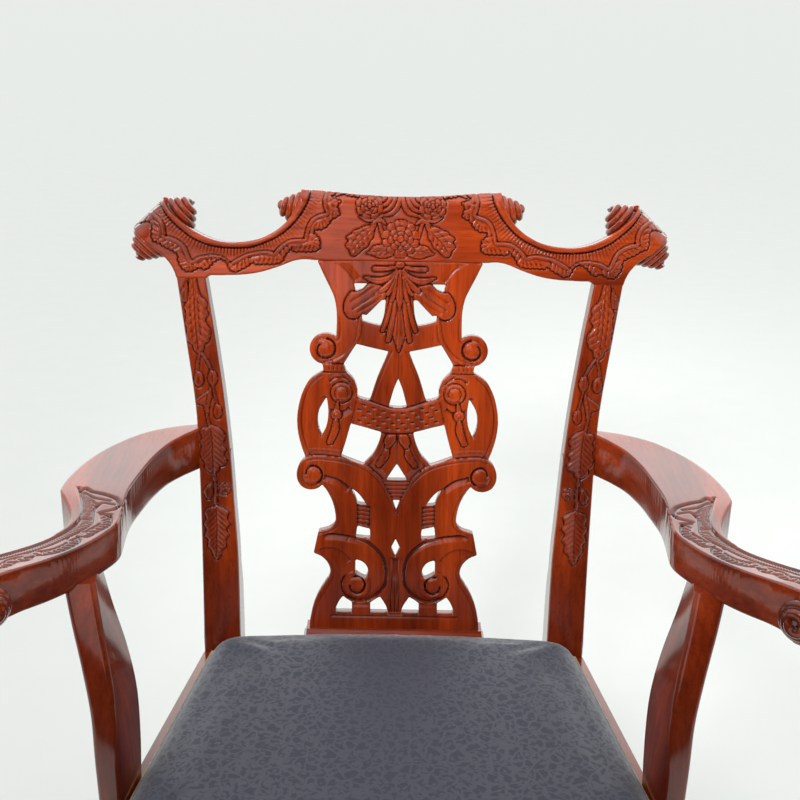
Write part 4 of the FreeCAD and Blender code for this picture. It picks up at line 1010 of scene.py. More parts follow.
def carve_base(face):
    """The lower curls, the fluted stem between them and the foot that enters the shoe."""
    face.ledge(CURL_EDGE[::-1], 1.8, 9, left=False)
    w = face.near([(0, 22), (10, 92)])
    x, s = face.x[w], face.s[w]
    face.h[w] -= 0.7 * (x < 7.5 + (s < 40) * 1.5)
    for spread in (0, 2.6, 5.2):
        face.groove([(spread, 26), (spread * 0.5, 90)], 0.8, 1.3)
    curl = smooth([(47, 113.5), (37, 110.5), (28.5, 105.5), (20.5, 98.5), (15, 90.5), (12.2, 80),
                   (11.2, 68), (13, 59), (17.5, 52), (24, 46), (31, 42), (38, 40), (45, 40.5),
                   (52, 44)])
    face.groove(curl, 0.8, 0.8)
    face.volute((45.5, 58.5), 9.8, -10, -270, 2.4, 17.0)
    face.ledge([(27, 37.5), (51, 37.5)], 1.3, 8, left=False)
    face.groove([(74, 20), (-1, 20)], 0.9, 0.8)
    face.ledge(smooth([(92, 100), (80, 104), (66, 102), (56, 95), (50, 88)]), 0.8, 16, left=True)
    shoulder = smooth([(91, 119), (80, 121.5), (72, 125.5), (66, 133), (66.5, 146), (70, 158),
                       (76, 170), (83, 180)])
    face.groove(shoulder, 0.8, 0.6)
    side = smooth([(91.5, 97), (82.5, 93), (75.5, 86.5), (71.8, 77), (73, 67), (78, 57.5),
                   (85, 46), (90.5, 34), (94, 20), (95.5, 6), (96, -8)])
    face.groove(side, 0.8, 0.6)


def make_splat():
    """The pierced splat."""
    face = Face(0, 118, -12, 438, 0.95)
    face.outline(SPLAT_EDGE)
    for loop in SPLAT_HOLES:
        face.hole(loop)
    for carve in (carve_scrolls, carve_base, carve_upper_strap, carve_loops, carve_knot, carve_swag,
                  carve_side_leaf, carve_fan):
        carve(face)
    face.round_edges(1.5)

    def behind(x, s, solid):
        return np.full(x.shape, -SPLAT_THICK)

    made = slab("pierced_splat", face.doubled(), on_back, behind, CARVED, "s", flat_back=True)
    finish(made, "splat")


# ------------------------------------------------------------------ scrolls at the ends of rolls

def make_scroll_end(node, radius, long, start, axis, up, turns, hand):
    """A conch in a CAD whorl's place: a shrinking tube wound on a cone, over a plain core.

    Its radius and how far it stands out are in metres. Seen from its tip, it winds one way for a
    hand of 1 and the other way for -1.
    """
    name = "scroll_" + node
    axis = Vector(axis).normalized()
    across = axis.cross(Vector(up)).normalized() * hand
    third = axis.cross(across).normalized() * hand
    axis, across, third, start = (np.array(v) for v in (axis, across, third, Vector(start)))
    t = np.linspace(0, 1, int(44 * turns))[:, None, None]
    v = np.linspace(0, 2 * math.pi, 14, endpoint=False)[None, :, None]
    pitch = long / turns
    tube = pitch * (0.92 - 0.16 * t)
    winding = 2 * math.pi * turns * t
    reach = (radius - tube) * (1 - 0.80 * t ** 1.1)
    out = np.cos(winding) * across + np.sin(winding) * third
    middle = start + axis * (t * (long - 0.55 * pitch)) + out * reach
    rings = middle + out * (tube * np.cos(v)) + axis * (0.64 * tube * np.sin(v))
    # Painted shade: each turn of the tube is darkened on its side towards the axis, where the turns crowd
    # together.
    turn_inner_shade = np.clip(-np.cos(v) * 1.1 - 0.15, 0, 1) * np.ones_like(t)
    coil = skin(name, rings, CARVED, polish_and_shade=turn_inner_shade)
    k = np.linspace(0, 1, 16)[:, None, None]
    a = np.linspace(0, 2 * math.pi, 40, endpoint=False)[None, :, None]
    width = (radius - 0.9 * pitch) * (1 - 0.86 * k ** 1.15)
    ray = np.cos(a) * across + np.sin(a) * third
    # Painted shade: the plain core, deep between the turns, is painted dark all over.
    core = skin(name + "_core", start + axis * (k * long * 0.93 - 0.002) + ray * width, CARVED,
                polish_and_shade=np.full((16, 40), 0.8))
    finish(coil, node)
    finish(core)


def crest_scrolls(label, side):
    """The whorls at both ends of an ear, and the one where the rolled top edge ends."""
    normal = Vector((0, -math.cos(RAKE), math.sin(RAKE)))
    for part, end, long, turns in (("upper", 1, 23, 3.3), ("lower", -1, 28, 3.7)):
        along_axis = EAR_AXIS * end
        middle = EAR + along_axis * (EAR_HALF_LONG - 1)
        start = on_back(np.array(side * middle[0]), np.array(middle[1]), -EAR_RADIUS + 1.0)
        one = on_back(np.array(side * along_axis[0]), np.array(along_axis[1]), 0.0)
        axis = one - on_back(np.array(0.0), np.array(0.0), 0.0)
        make_scroll_end("%s_ear_%s_whorl" % (label, part), (EAR_RADIUS + 1.0) * MM, long * MM,
                        start, axis, normal, turns, side * end)
    start = on_back(np.array(side * 112), np.array(491.5), -TOP_ROLL_RADIUS)
    axis = (side * 0.995, 0.1 * math.sin(RAKE), 0.1 * math.cos(RAKE))
    make_scroll_end("%s_crest_whorl" % label, 22.0 * MM, 28 * MM, start, axis, normal, 3.4, side)


# ------------------------------------------------------------------ back posts

POST_OUTER = smooth([(224, -30), (224.2, 20), (225, 90), (226, 150), (227.5, 205), (229.3, 250),
                     (232, 280), (236, 311), (241.5, 350), (246.2, 385), (250.7, 417)], 10)
POST_INNER = smooth([(181, -30), (181.5, 20), (183, 90), (187, 150), (190.7, 205), (195, 250),
                     (199, 285), (202.5, 311), (208, 350), (213.5, 385), (218.5, 417)], 10)
LEG_OUTER = [(-500, 222), (-300, 222.5), (-200, 223), (-100, 224), (-30, 224)]
LEG_INNER = [(-500, 189), (-300, 188), (-200, 184), (-100, 181), (-30, 181)]
POST_FRONT_PROFILE = smooth([(0, 46), (160, 20), (300, 4), (394, -2)], 10)
POST_BACK_PROFILE = smooth([(0, 82), (160, 58), (300, 46), (394, 44)], 10)
POST_SHOULDER = smooth([(475, 44), (505, 46.5), (528, 48), (545, 46.5), (562, 43)], 10)
POST_TOP_S = 414.0
POST_FOOT_S = -30  # below here the rear leg is plain
CARVED_FOOT_S = 82
ARM_JOINT_Z = 475  # the back face swells from here to the post's shoulder
SHOULDER_Z = 562
SHOULDER_BACK = 43
POST_BEVEL = 1.8
POST_CORNER = 5.0  # rounding of the two rear corners


def post_edges(s):
    """Inner and outer x of the post at a point s up the back plane."""
    low = s < POST_FOOT_S
    outer = np.where(low, np.interp(s, *np.transpose(LEG_OUTER)),
                     np.interp(s, POST_OUTER[:, 1], POST_OUTER[:, 0]))
    inner = np.where(low, np.interp(s, *np.transpose(LEG_INNER)),
                     np.interp(s, POST_INNER[:, 1], POST_INNER[:, 0]))
    return inner, outer


def post_depths(z):
    """Front and back y of the post, behind the back's root, at a height in mm."""
    raked = (z - ROOT_Z / MM) * math.tan(RAKE)
    front = np.interp(z, POST_FRONT_PROFILE[:, 0], POST_FRONT_PROFILE[:, 1])
    front = np.where(z > 472, np.maximum(-2, raked), front)
    top_z = ROOT_Z / MM + POST_TOP_S * math.cos(RAKE)
    top_back = POST_TOP_S * math.sin(RAKE) + 25.5
    back = np.interp(z, POST_BACK_PROFILE[:, 0], POST_BACK_PROFILE[:, 1])
    back = np.where(z > ARM_JOINT_Z, np.interp(z, POST_SHOULDER[:, 0], POST_SHOULDER[:, 1]), back)
    rise = (z - SHOULDER_Z) / (top_z - 4.5 - SHOULDER_Z)
    return front, np.where(z > SHOULDER_Z, SHOULDER_BACK + (top_back - SHOULDER_BACK) * rise, back)


def carve_post(face):
    """A trail of leaves, buds and flowers, carved down the front of the right-hand post."""
    face.leaf([(233, 420), (229, 416), (227, 405), (223.5, 394), (219, 390.5), (216, 385), (217.5, 379),
               (215, 373), (218.5, 367.5), (216.5, 361.5), (213, 356), (213, 349), (215.5, 342),
               (220, 338), (221.5, 332), (226, 328), (231, 332), (233, 338.5), (237, 341), (240, 347),
               (239, 356), (241, 364), (239.5, 373), (241.5, 381), (239, 389), (237, 397), (236.5, 409)],
              [(232, 420), (230.5, 395), (229, 360), (226, 331)], 2.0, 0.4, 9.0, 0.7)
    face.groove(smooth([(229, 402), (226, 385), (225, 368), (223, 350)]), 0.8, 0.8)
    face.groove(smooth([(235, 405), (235.5, 385), (234.5, 366), (233, 348)]), 0.8, 0.8)
    face.leaf([(238.5, 411), (242, 403), (246, 397), (245.5, 390), (241.5, 386), (238.6, 389),
               (237.6, 397)], [(239.5, 409), (241.5, 397), (241.5, 387)], 1.7, 0.3, 3.4, 0.5)
    face.lobe([(225, 329), (227.6, 318), (228.6, 308)], [1.5, 1.5, 1.7], 1.5, 0.2)
    face.lobe([(223, 329), (216.5, 319), (211.5, 309)], [1.5, 1.5, 1.7], 1.5, 0.2)
    for x, s, lean in ((226.3, 299.5, 0.8), (210.8, 301, 1.2)):
        face.leaf([(x + lean, s + 9.5), (x - 4.2, s + 5), (x - 5.4, s - 2), (x - 2.6, s - 8), (x, s - 9.5),
                   (x + 2.8, s - 8), (x + 5.4, s - 2), (x + 4.4, s + 5)],
                  [(x + lean, s + 9), (x, s), (x, s - 9)], 2.1, 0.4, 3.0, 0.6, 1.0)
    face.leaf([(213.5, 292), (216.5, 286), (223, 281.5), (230.5, 274.5), (231, 271.5), (226, 270),
               (221, 267.5), (219, 259), (216, 259), (214.5, 270), (211.5, 282)],
              [(213.5, 291), (217, 280), (219, 262)], 1.6, 0.3, 6.0, 0.6)
    face.lobe([(210.5, 291), (208.5, 280), (206, 270)], [1.2, 1.2, 1.4], 1.4, 0.2)
    face.leaf([(206, 271), (201.5, 267), (200.5, 260), (204, 254), (208, 255), (210, 261), (209, 268)],
              [(206, 270), (205.5, 262), (205, 255)], 1.8, 0.4, 3.2, 0.6)
    face.lobe([(217.5, 258), (216, 250), (214, 243)], [1.4, 1.6, 1.8], 1.4, 0.2)
    face.leaf([(214, 247), (218, 243.5), (223, 243), (226, 237), (223.4, 232), (226.4, 227), (224, 220.5),
               (226, 214), (224, 206), (220.5, 202), (220.5, 196), (215, 191), (210.5, 189),
               (206, 191.5), (203.4, 197), (197.6, 199.5), (195.4, 206), (199, 212.5), (196, 218),
               (200.4, 224), (197.4, 231), (198.6, 238), (203.6, 243.5), (209, 246)],
              [(214, 246), (212, 228), (211.4, 210), (210.6, 190)], 2.0, 0.4, 6.2, 0.9)
    face.lobe([(210, 190), (208.6, 176), (208.2, 162), (208, 150)], [1.4, 1.6, 1.6, 1.8], 1.4, 0.2)
    face.flower((199, 171.5), 7.6, 6, 5, 0.2, 2.1)
    face.leaf([(216.5, 177), (221, 172), (221.5, 165), (217.5, 158.5), (213, 162), (211.6, 169),
               (213, 175)], [(216.5, 177), (217, 168), (217, 159)], 1.8, 0.3, 3.0, 0.6)
    face.leaf([(208, 152), (213, 150), (218, 148.5), (221.5, 142), (219.4, 136), (222.4, 129.5),
               (219.4, 123), (221.4, 116), (217.4, 110), (218, 103), (213.4, 97), (211.4, 90),
               (207.6, 86.5), (203.6, 91), (201.4, 98), (196.4, 103), (197.4, 110), (193.6, 116),
               (196.6, 123), (192.6, 130), (195.6, 137), (193.6, 144), (199.6, 149), (204, 150.5)],
              [(208, 151), (207, 130), (207.4, 110), (207.6, 88)], 2.0, 0.4, 6.2, 0.9)


def post_rows():
    """Places up the back plane to cut the post at, closer together where it is carved."""
    floor_s = -ROOT_Z / MM / math.cos(RAKE)
    leg = np.linspace(floor_s, POST_FOOT_S, 60)
    plain = np.linspace(POST_FOOT_S + 2, CARVED_FOOT_S, 26)
    carved = np.arange(CARVED_FOOT_S + 2, POST_TOP_S, 0.85)
    return np.concatenate([leg, plain, carved])[:, None]


def post_front(s, z, inner, outer, front):
    """The carved front of the post, and the dark polish and painted shade in its hollows."""
    face = Face(180, 256, 80, 422, 0.85)
    carve_post(face)
    x = inner + (outer - inner) * np.linspace(0, 1, 44)[None, :]
    points = np.stack([x.ravel(), np.broadcast_to(s, x.shape).ravel()], 1)
    carved = np.broadcast_to(s > CARVED_FOOT_S, x.shape)
    relief = np.where(carved, sample(face.h, face, points).reshape(x.shape), 0)
    dark = np.where(carved, sample(face.polish_and_shade(), face, points).reshape(x.shape), 0)
    gap = np.clip(POST_BEVEL - np.minimum(x - inner, outer - x), 0, POST_BEVEL)
    relief = relief - POST_BEVEL + np.sqrt(POST_BEVEL ** 2 - gap ** 2)
    tilt = np.where(s > 0, RAKE, 0.0)
    return np.stack([x, front - relief * np.cos(tilt), z + relief * np.sin(tilt)], -1), dark


def post_rest(z, inner, outer, front, back):
    """The post's outer side, back and inner side, with rounded rear corners."""
    corner = POST_CORNER
    flank = np.array([0.15, 0.4, 0.65, 0.85])
    turn = np.radians([0, 22, 45, 67, 90])
    deep = back - corner - front
    runs = ((outer, front + deep * flank),
            (outer - corner + corner * np.cos(turn), back - corner + corner * np.sin(turn)),
            (inner + corner - corner * np.sin(turn), back - corner + corner * np.cos(turn)),
            (inner, front + deep * flank[::-1]))
    return np.concatenate([np.stack(np.broadcast_arrays(x, y, z), -1) for x, y in runs], axis=1)


def make_post(label, side):
    """A back post with its rear leg, in one piece."""
    s = post_rows()
    z = ROOT_Z / MM + s * math.cos(RAKE)
    inner, outer = post_edges(s)
    front, back = post_depths(z)
    carved, dark = post_front(s, z, inner, outer, front)
    rings = np.concatenate([carved, post_rest(z, inner, outer, front, back)], axis=1)
    # Painted shade and dark polish on the carved front; the sides and back get none.
    shade = np.concatenate([dark, np.zeros((len(s), rings.shape[1] - dark.shape[1]))], axis=1)
    world = on_plan(side * rings[..., 0], rings[..., 1], rings[..., 2])
    made = skin("%s_carved_post" % label, world, CARVED, polish_and_shade=shade, grain=rings)
    face_outwards(made, side)
    finish(made, "%s_back_post" % label)


# ------------------------------------------------------------------ arms

ARM_LOOP = chain(
    [(226.5, 43), (234, 34), (244, 21), (256, 0), (266, -33), (272, -69), (276, -102), (275.5, -130),
     (273, -157), (272.5, -175), (278, -192), (288, -212), (300, -232), (316, -253), (335, -273),
     (363, -301.5)],
    [(363, -301.5), (394, -270)],
    [(394, -270), (368, -244), (352, -229), (338, -214), (329, -200), (322.5, -184), (322, -166),
     (328, -147), (338, -126), (345, -112), (347, -98), (344, -72), (334, -35), (316, 0),
     (289, 31), (257, 49), (226.5, 58)],
    [(226.5, 58), (226.5, 43)],
)
ARM_TOP = smooth([(-279, 716), (-255, 714), (-210, 712), (-160, 713.5), (-110, 717), (-60, 720),
                  (0, 724), (40, 727.5), (62, 729)])
ARM_FOOT = smooth([(-290, 670), (-255, 669), (-206, 670), (-110, 671), (0, 674), (62, 677)])
ROLL = np.array((376.0, -288.5))
ROLL_AXIS = np.array((-0.685, -0.728)) / math.hypot(0.685, 0.728)
ROLL_OUT = np.array((0.728, -0.685)) / math.hypot(0.685, 0.728)
ROLL_Z = 692.0
ROLL_RADIUS = 24.0
ROLL_HALF_LONG = 25.0
ARM_EDGE = 2.2  # rounding of the arm's upper edges
BAND_OUTER = smooth([(329, -102), (325.6, -110.5), (317.2, -134.5), (313, -153.6), (312, -172),
                     (317, -189), (324.8, -203), (335, -218), (348, -232), (363, -246), (378, -258),
                     (402, -280)])
BAND_INNER = smooth([(299.6, -137), (302.2, -148.4), (299.5, -165.3), (298.1, -176.4),
                     (302.6, -187), (310.4, -197.8), (318.3, -211.5), (328.1, -225), (340.7, -237.6),
                     (354.7, -249.3), (368.5, -262), (394, -286)])
LEAF_TOP = smooth([(278.5, -138), (284.3, -126), (292.2, -119.8), (303.4, -114.2), (314.4, -110),
                   (321, -103.4), (324.2, -107.3)])
LEAF_FOOT = smooth([(278.5, -138), (280.3, -144.3), (283, -147.3), (294.5, -153.6), (290, -156),
                    (283.7, -158.5)])
ARM_RUFFLE = [(283.7, -158.5), (279.8, -171.6), (281.6, -182.4), (288.7, -192.8), (294.7, -203.2),
              (304.3, -203), (300.6, -212.7), (304.5, -224.8), (312.9, -236.9), (323.3, -244),
              (333.6, -247), (336, -256), (345.5, -261.3), (350.7, -272), (361, -279), (382, -300)]


def roll_out(x, y):
    """Distance past the roll's axis, towards the front."""
    return (x - ROLL[0]) * ROLL_OUT[0] + (y - ROLL[1]) * ROLL_OUT[1]


def arm_top(x, y):
    """Height of an arm's plain top, which rolls over at its front end."""
    past = np.clip(roll_out(x, y), 0, ROLL_RADIUS)
    drop = ROLL_RADIUS - np.sqrt(ROLL_RADIUS ** 2 - past ** 2)
    return np.interp(y, ARM_TOP[:, 0], ARM_TOP[:, 1]) - drop


def arm_foot(x, y, solid):
    """Height of an arm's underside."""
    past = np.clip(roll_out(x, y), -ROLL_RADIUS, ROLL_RADIUS)
    roll = ROLL_Z - np.sqrt(ROLL_RADIUS ** 2 - past ** 2)
    plain = np.interp(y, ARM_FOOT[:, 0], ARM_FOOT[:, 1])
    near_roll = ease((roll_out(x, y) + 40) / 30)
    rounding = 7 - 5 * near_roll
    edge = np.clip(rounding - solid, 0, rounding)
    plain = plain + rounding - np.sqrt(rounding ** 2 - edge ** 2)
    return np.where(np.abs(past) < ROLL_RADIUS, np.where(past > 0, roll, np.minimum(plain, roll)), plain)


def carve_arm(face):
    """The leafy border that runs along the front of each arm to its scroll."""
    edge = smooth(ARM_RUFFLE)
    region = np.vstack([LEAF_TOP, BAND_OUTER, edge[::-1], LEAF_FOOT[::-1]])
    inside = depth_in(face.x, face.s, region)
    band = depth_in(face.x, face.s, np.vstack([BAND_OUTER, BAND_INNER[::-1]]))
    far, place, _ = along(face.x, face.s, edge)
    length = np.hypot(*np.diff(edge, axis=0).T).sum()
    leafy = ease(inside / 1.5) * (band < 0)
    gouges = (0.5 + 0.5 * np.cos(2 * math.pi * (place * length - 0.4 * far) / 6.2)) ** 2
    face.h -= leafy * 0.3
    face.h -= 1.2 * gouges * leafy * ease((far - 0.8) / 1.2) * (1 - ease((far - 6) / 5))
    face.h -= 1.0 * leafy * np.exp(-((far - 9.5) / 1.2) ** 2)
    _, band_place, _ = along(face.x, face.s, BAND_OUTER)
    flutes = (0.5 + 0.5 * np.cos(2 * math.pi * band_place * 78)) ** 2
    face.h -= ease(band / 1.2) * (0.9 + 0.7 * flutes)
    for line in (LEAF_TOP, LEAF_FOOT, edge):
        face.groove(line, 1.5, 2.1)
    face.groove(BAND_OUTER, 1.3, 1.9)
    face.groove(BAND_INNER, 1.3, 1.9)
    face.groove(BAND_OUTER[36:] + (2.8, 2.8), 1.0, 0.9)
    face.groove([(290, -129), (308, -124), (320, -113)], 1.2, 1.3)
    face.groove([(284, -137), (296, -133), (303, -140)], 1.2, 1.3)


def make_arm_grid():
    """The carved top of the right-hand arm, for both arms."""
    face = Face(224, 418, -330, 62, 1.0)
    lengthwise = ROLL_AXIS * ROLL_HALF_LONG
    ahead = ROLL_OUT * (ROLL_RADIUS - 0.4)
    behind = ROLL_OUT * 6
    roll = [ROLL + lengthwise + ahead, ROLL - lengthwise + ahead,
            ROLL - lengthwise - behind, ROLL + lengthwise - behind]
    face.solid = np.maximum(depth_in(face.x, face.s, ARM_LOOP), depth_in(face.x, face.s, roll))
    carve_arm(face)
    face.h *= ease((14 - roll_out(face.x, face.s)) / 10)
    gap = np.clip(ARM_EDGE - np.maximum(face.solid, 0), 0, ARM_EDGE)
    gap *= ease((6 - roll_out(face.x, face.s)) / 4)
    face.h -= ARM_EDGE - np.sqrt(ARM_EDGE ** 2 - gap ** 2)
    return face


def make_arm(label, side, face):
    """A serpentine arm, with the whorls at its roll's two ends."""

    def place(x, y, z):
        return on_plan(side * x, y, z)

    made = slab("%s_serpentine_arm" % label, face, place, arm_foot, CARVED, "s", arm_top)
    face_outwards(made, side)
    finish(made, "%s_arm" % label)
    for part, end, long in (("inner", 1, 20), ("outer", -1, 16)):
        middle = ROLL + ROLL_AXIS * end * (ROLL_HALF_LONG - 1)
        start = on_plan(np.array(side * middle[0]), np.array(middle[1]), np.array(ROLL_Z))
        axis = (side * end * ROLL_AXIS[0], end * ROLL_AXIS[1], 0)
        node = "%s_arm_%s_whorl" % (label, part)
        make_scroll_end(node, (ROLL_RADIUS - 0.4) * MM, long * MM, start, axis, (0, 0, 1), 2.6,
                        -side * end)


SUPPORT_PATH = np.array([  # height, x, y, half thickness, half depth, turn
    (412, 265.5, -262, 12, 26, 8.2), (462, 265.5, -262, 12.5, 28, 8.2),
    (515, 266, -258, 13, 31, 8.2), (560, 269, -249, 13.5, 31, 7), (600, 278, -237, 14, 30, 4),
    (640, 291, -222, 14.5, 28, -2), (676, 302.5, -205.5, 15, 27, -8),
])


def rounded_ring(half_x, half_y, radius, per=7):
    """Offsets of a rounded rectangle, counter-clockwise seen from above."""
    a = np.radians(np.linspace(0, 90, per))
    ring = []
    for quarter, (sx, sy) in enumerate(((1, 1), (-1, 1), (-1, -1), (1, -1))):
        turn = a + quarter * math.pi / 2
        ring.append(np.stack([sx * (half_x - radius) + radius * np.cos(turn),
                              sy * (half_y - radius) + radius * np.sin(turn)], 1))
    return np.vstack(ring)


def make_support(label, side):
    """The curved upright from a side rail to an arm."""
    rings = []
    for z, x, y, half_x, half_y, turn in smooth(SUPPORT_PATH, 12):
        ring = rounded_ring(half_x, half_y, 5.5)
        a = math.radians(turn)
        turned = ring @ np.array([[math.cos(a), math.sin(a)], [-math.sin(a), math.cos(a)]])
        rings.append(np.column_stack([x + turned[:, 0], y + turned[:, 1], np.full(len(ring), z)]))
    rings = np.array(rings)
    made = skin("%s_curved_support" % label, on_plan(side * rings[..., 0], rings[..., 1], rings[..., 2]),
                CARVED, grain=rings)
    face_outwards(made, side)
    finish(made, "%s_arm_support" % label)


# ------------------------------------------------------------------ drop-in seat

SEAT_FOOT = 448.8
SEAT_REAR = -9.0
SEAT_FRONT = -416.4
SEAT_REAR_HALF = 215.8
SEAT_FRONT_HALF = 274.4
SEAT_SHOULDER = 492.0  # where the dome starts to rise from the rounded edge
SEAT_DOME = 20.0
SEAT_EDGE_ROUND = 14.0
CORNER_DROP = 16.0
SIDE_DROP = 6.0
TACKED_BELOW = 474.0


def seat_top(uu, vv, half):
    """Height of the seat's top: domed, with a rounded edge and soft corners."""
    side_gap = (1 - np.abs(uu)) * half
    end_gap = np.minimum(vv, 1 - vv) * (SEAT_REAR - SEAT_FRONT)
    from_edge = np.minimum(side_gap, end_gap)
    to_corner = np.hypot(np.clip(60 - side_gap, 0, 60), np.clip(34 - end_gap, 0, 34) * 1.3)
    round_edge = np.clip(1 - from_edge / SEAT_EDGE_ROUND, 0, 1)
    top = SEAT_SHOULDER + SEAT_DOME * (1 - np.exp(-from_edge / 12))
    top -= SEAT_DOME * (1 - np.sqrt(1 - round_edge ** 2))
    return top - (CORNER_DROP * ease((to_corner - 26) / 44) + SIDE_DROP * uu ** 2)


def seat_dome():
    """A closed, slightly slack cushion over the seat's tapered outline."""
    across, deep = 96, 76
    uu, vv = np.meshgrid(np.linspace(-1, 1, across), np.linspace(0, 1, deep))
    half = SEAT_REAR_HALF + (SEAT_FRONT_HALF - SEAT_REAR_HALF) * vv
    x = uu * half
    y = SEAT_REAR + (SEAT_FRONT - SEAT_REAR) * vv
    upper = on_plan(x, y, seat_top(uu, vv, half)).reshape(-1, 3)
    lower = on_plan(x * 1.007, y - 1.2 * vv, np.full(x.shape, SEAT_FOOT)).reshape(-1, 3)
    index = np.arange(across * deep).reshape(deep, across)
    quad = np.stack([index[:-1, :-1], index[1:, :-1], index[1:, 1:], index[:-1, 1:]], -1).reshape(-1, 4)
    rim = np.concatenate([index[0, :], index[1:, -1], index[-1, -2::-1], index[-2:0:-1, 0]])
    low = rim + across * deep
    walls = np.stack([rim, np.roll(rim, -1), np.roll(low, -1), low], -1)
    faces = quad.tolist() + (quad[:, ::-1] + across * deep).tolist() + walls.tolist()
    return np.vstack([upper, lower]), faces


def make_seat():
    points, faces = seat_dome()
    seat = add_mesh("damask_seat", points, faces, CLOTH, sharp=180)
    bpy.context.view_layer.objects.active = seat
    remesh = seat.modifiers.new("even", "REMESH")
    remesh.mode = "VOXEL"
    remesh.voxel_size = 0.0055
    remesh.use_smooth_shade = True
    apply_modifiers(seat)
    inflate(seat)
    round_off = seat.modifiers.new("round", "SUBSURF")
    round_off.levels = round_off.render_levels = 1
    apply_modifiers(seat)
    seat.data.polygons.foreach_set("use_smooth", np.ones(len(seat.data.polygons), bool))
    finish(seat, "seat_cover", "seat_foam", slot="seat_fabric", body="drop_in_seat")


def apply_modifiers(made):
    """Replaces the mesh by what its modifiers make of it."""
    graph = bpy.context.evaluated_depsgraph_get()
    result = bpy.data.meshes.new_from_object(made.evaluated_get(graph))
    made.modifiers.clear()
    made.data = result


def inflate(seat, cap=0.004):
    """Cloth under slight pressure, held where it is tacked round the frame."""
    count = len(seat.data.vertices)
    before = np.empty(count * 3)
    seat.data.vertices.foreach_get("co", before)
    before = before.reshape(-1, 3)
    held = seat.vertex_groups.new(name="tacked")
    held.add([int(i) for i in np.nonzero(before[:, 2] < TACKED_BELOW * MM)[0]], 1.0, "REPLACE")
    cloth = seat.modifiers.new("cloth", "CLOTH")
    settings = cloth.settings
    settings.quality = 6
    settings.mass = 0.3
    settings.tension_stiffness = settings.compression_stiffness = 25
    settings.shear_stiffness = 8
    settings.bending_stiffness = 1.5
    settings.use_pressure = True
    settings.uniform_pressure_force = 4
    settings.vertex_group_mass = "tacked"
    settings.effector_weights.gravity = 0
    scene = bpy.context.scene
    for step in range(1, 21):
        scene.frame_set(step)
    graph = bpy.context.evaluated_depsgraph_get()
    moved = seat.evaluated_get(graph).to_mesh()
    after = np.empty(count * 3)
    moved.vertices.foreach_get("co", after)
    shift = after.reshape(-1, 3) - before
    size = np.linalg.norm(shift, axis=1)
    shift *= (cap * np.tanh(size / cap) / np.maximum(size, 1e-9))[:, None]
    seat.modifiers.clear()
    seat.vertex_groups.clear()
    seat.data.vertices.foreach_set("co", (before + shift).ravel())
    seat.data.update()
    scene.frame_set(1)


# ------------------------------------------------------------------ front legs

def tube(name, path, radii, flat=1.0, around=14):
    """A tapering tube of upright grain along a path of points in metres."""
    p = smooth(path, 6)
    r = np.interp(np.linspace(0, 1, len(p)), np.linspace(0, 1, len(radii)), radii)
    tangent = np.gradient(p, axis=0)
    tangent /= np.linalg.norm(tangent, axis=1)[:, None]
    out = np.cross(tangent, (0.0, 0.0, 1.0))
    out /= np.maximum(np.linalg.norm(out, axis=1), 1e-6)[:, None]
    third = np.cross(out, tangent)
    a = np.linspace(0, 2 * math.pi, around, endpoint=False)[None, :, None]
    rings = p[:, None, :] + r[:, None, None] * (np.cos(a) * out[:, None, :]
                                                + flat * np.sin(a) * third[:, None, :])
    return skin(name, rings, UPRIGHT, sharp=180)


# Height, throw of the leg's axis towards its corner, and half thickness, in mm.
LEG_THROW = [(374, 7, 26.5), (340, 10, 25), (290, 6, 20.5), (225, 1, 16.5), (160, -1, 13.8)]
LEG_X = 0.263
LEG_DEPTH = 0.407  # from the back's root to the leg's axis
BALL_THROW = 0.014
BALL_HIGH = 0.029


# Reach from the ball's upright axis and height over its middle, in metres, down a talon.
TALON_PATH = ((0.012, 0.068), (0.026, 0.040), (0.0335, 0.016), (0.0355, -0.004),
              (0.0300, -0.018), (0.0235, -0.0245))
TALON_RADII = (0.008, 0.0088, 0.0070, 0.0082, 0.0058, 0.0022)
# Swing from the knee's corner in degrees, reach as a share of the knee's own, and foot in mm.
KNEE_LEAVES = ((0, 1.0, 262), (-17, 0.97, 286), (17, 0.97, 286), (-33, 0.90, 318), (33, 0.90, 318))
KNEE_LEAF_RADII = (0.003, 0.0062, 0.0066, 0.0052, 0.0030)
KNEE_TOP = 384
KNEE_REACH = 1.24  # how far the leaves' spines lie out, in half thicknesses of the knee


def level_ray(side, bearing):
    """The level direction at a bearing in degrees from outwards, negative towards the front."""
    angle = math.radians(bearing)
    return np.array((side * math.cos(angle), math.sin(angle), 0))


def leg_carving(label, side):
    """Four talons that grip the ball, and acanthus lobes over the knee."""
    centre_x = side * LEG_X
    centre_y = ROOT_Y - LEG_DEPTH
    step = BALL_THROW * math.sqrt(0.5)
    ball = np.array((centre_x + side * step, centre_y - step, BALL_HIGH))
    for number, bearing in enumerate((-45, 30, -120, 135)):
        ray = level_ray(side, bearing)
        path = [ball + ray * reach + (0, 0, rise) for reach, rise in TALON_PATH]
        finish(tube("%s_talon_%d" % (label, number), path, TALON_RADII))
    heights, throws, halves = np.transpose(LEG_THROW[::-1])
    for number, (swing, reach, foot) in enumerate(KNEE_LEAVES):
        ray = level_ray(side, -45 + swing)
        path = []
        for z in np.linspace(KNEE_TOP, foot, 7):
            throw = np.interp(z, heights, throws) * math.cos(math.radians(swing))
            out = throw + np.interp(z, heights, halves) * KNEE_REACH * reach
            path.append(np.array((centre_x, centre_y, z * MM)) + ray * out * MM)
        path[-1] = path[-1] + ray * 0.003
        finish(tube("%s_knee_leaf_%d" % (label, number), path, KNEE_LEAF_RADII, flat=0.8))


# ------------------------------------------------------------------ CAD parts that show

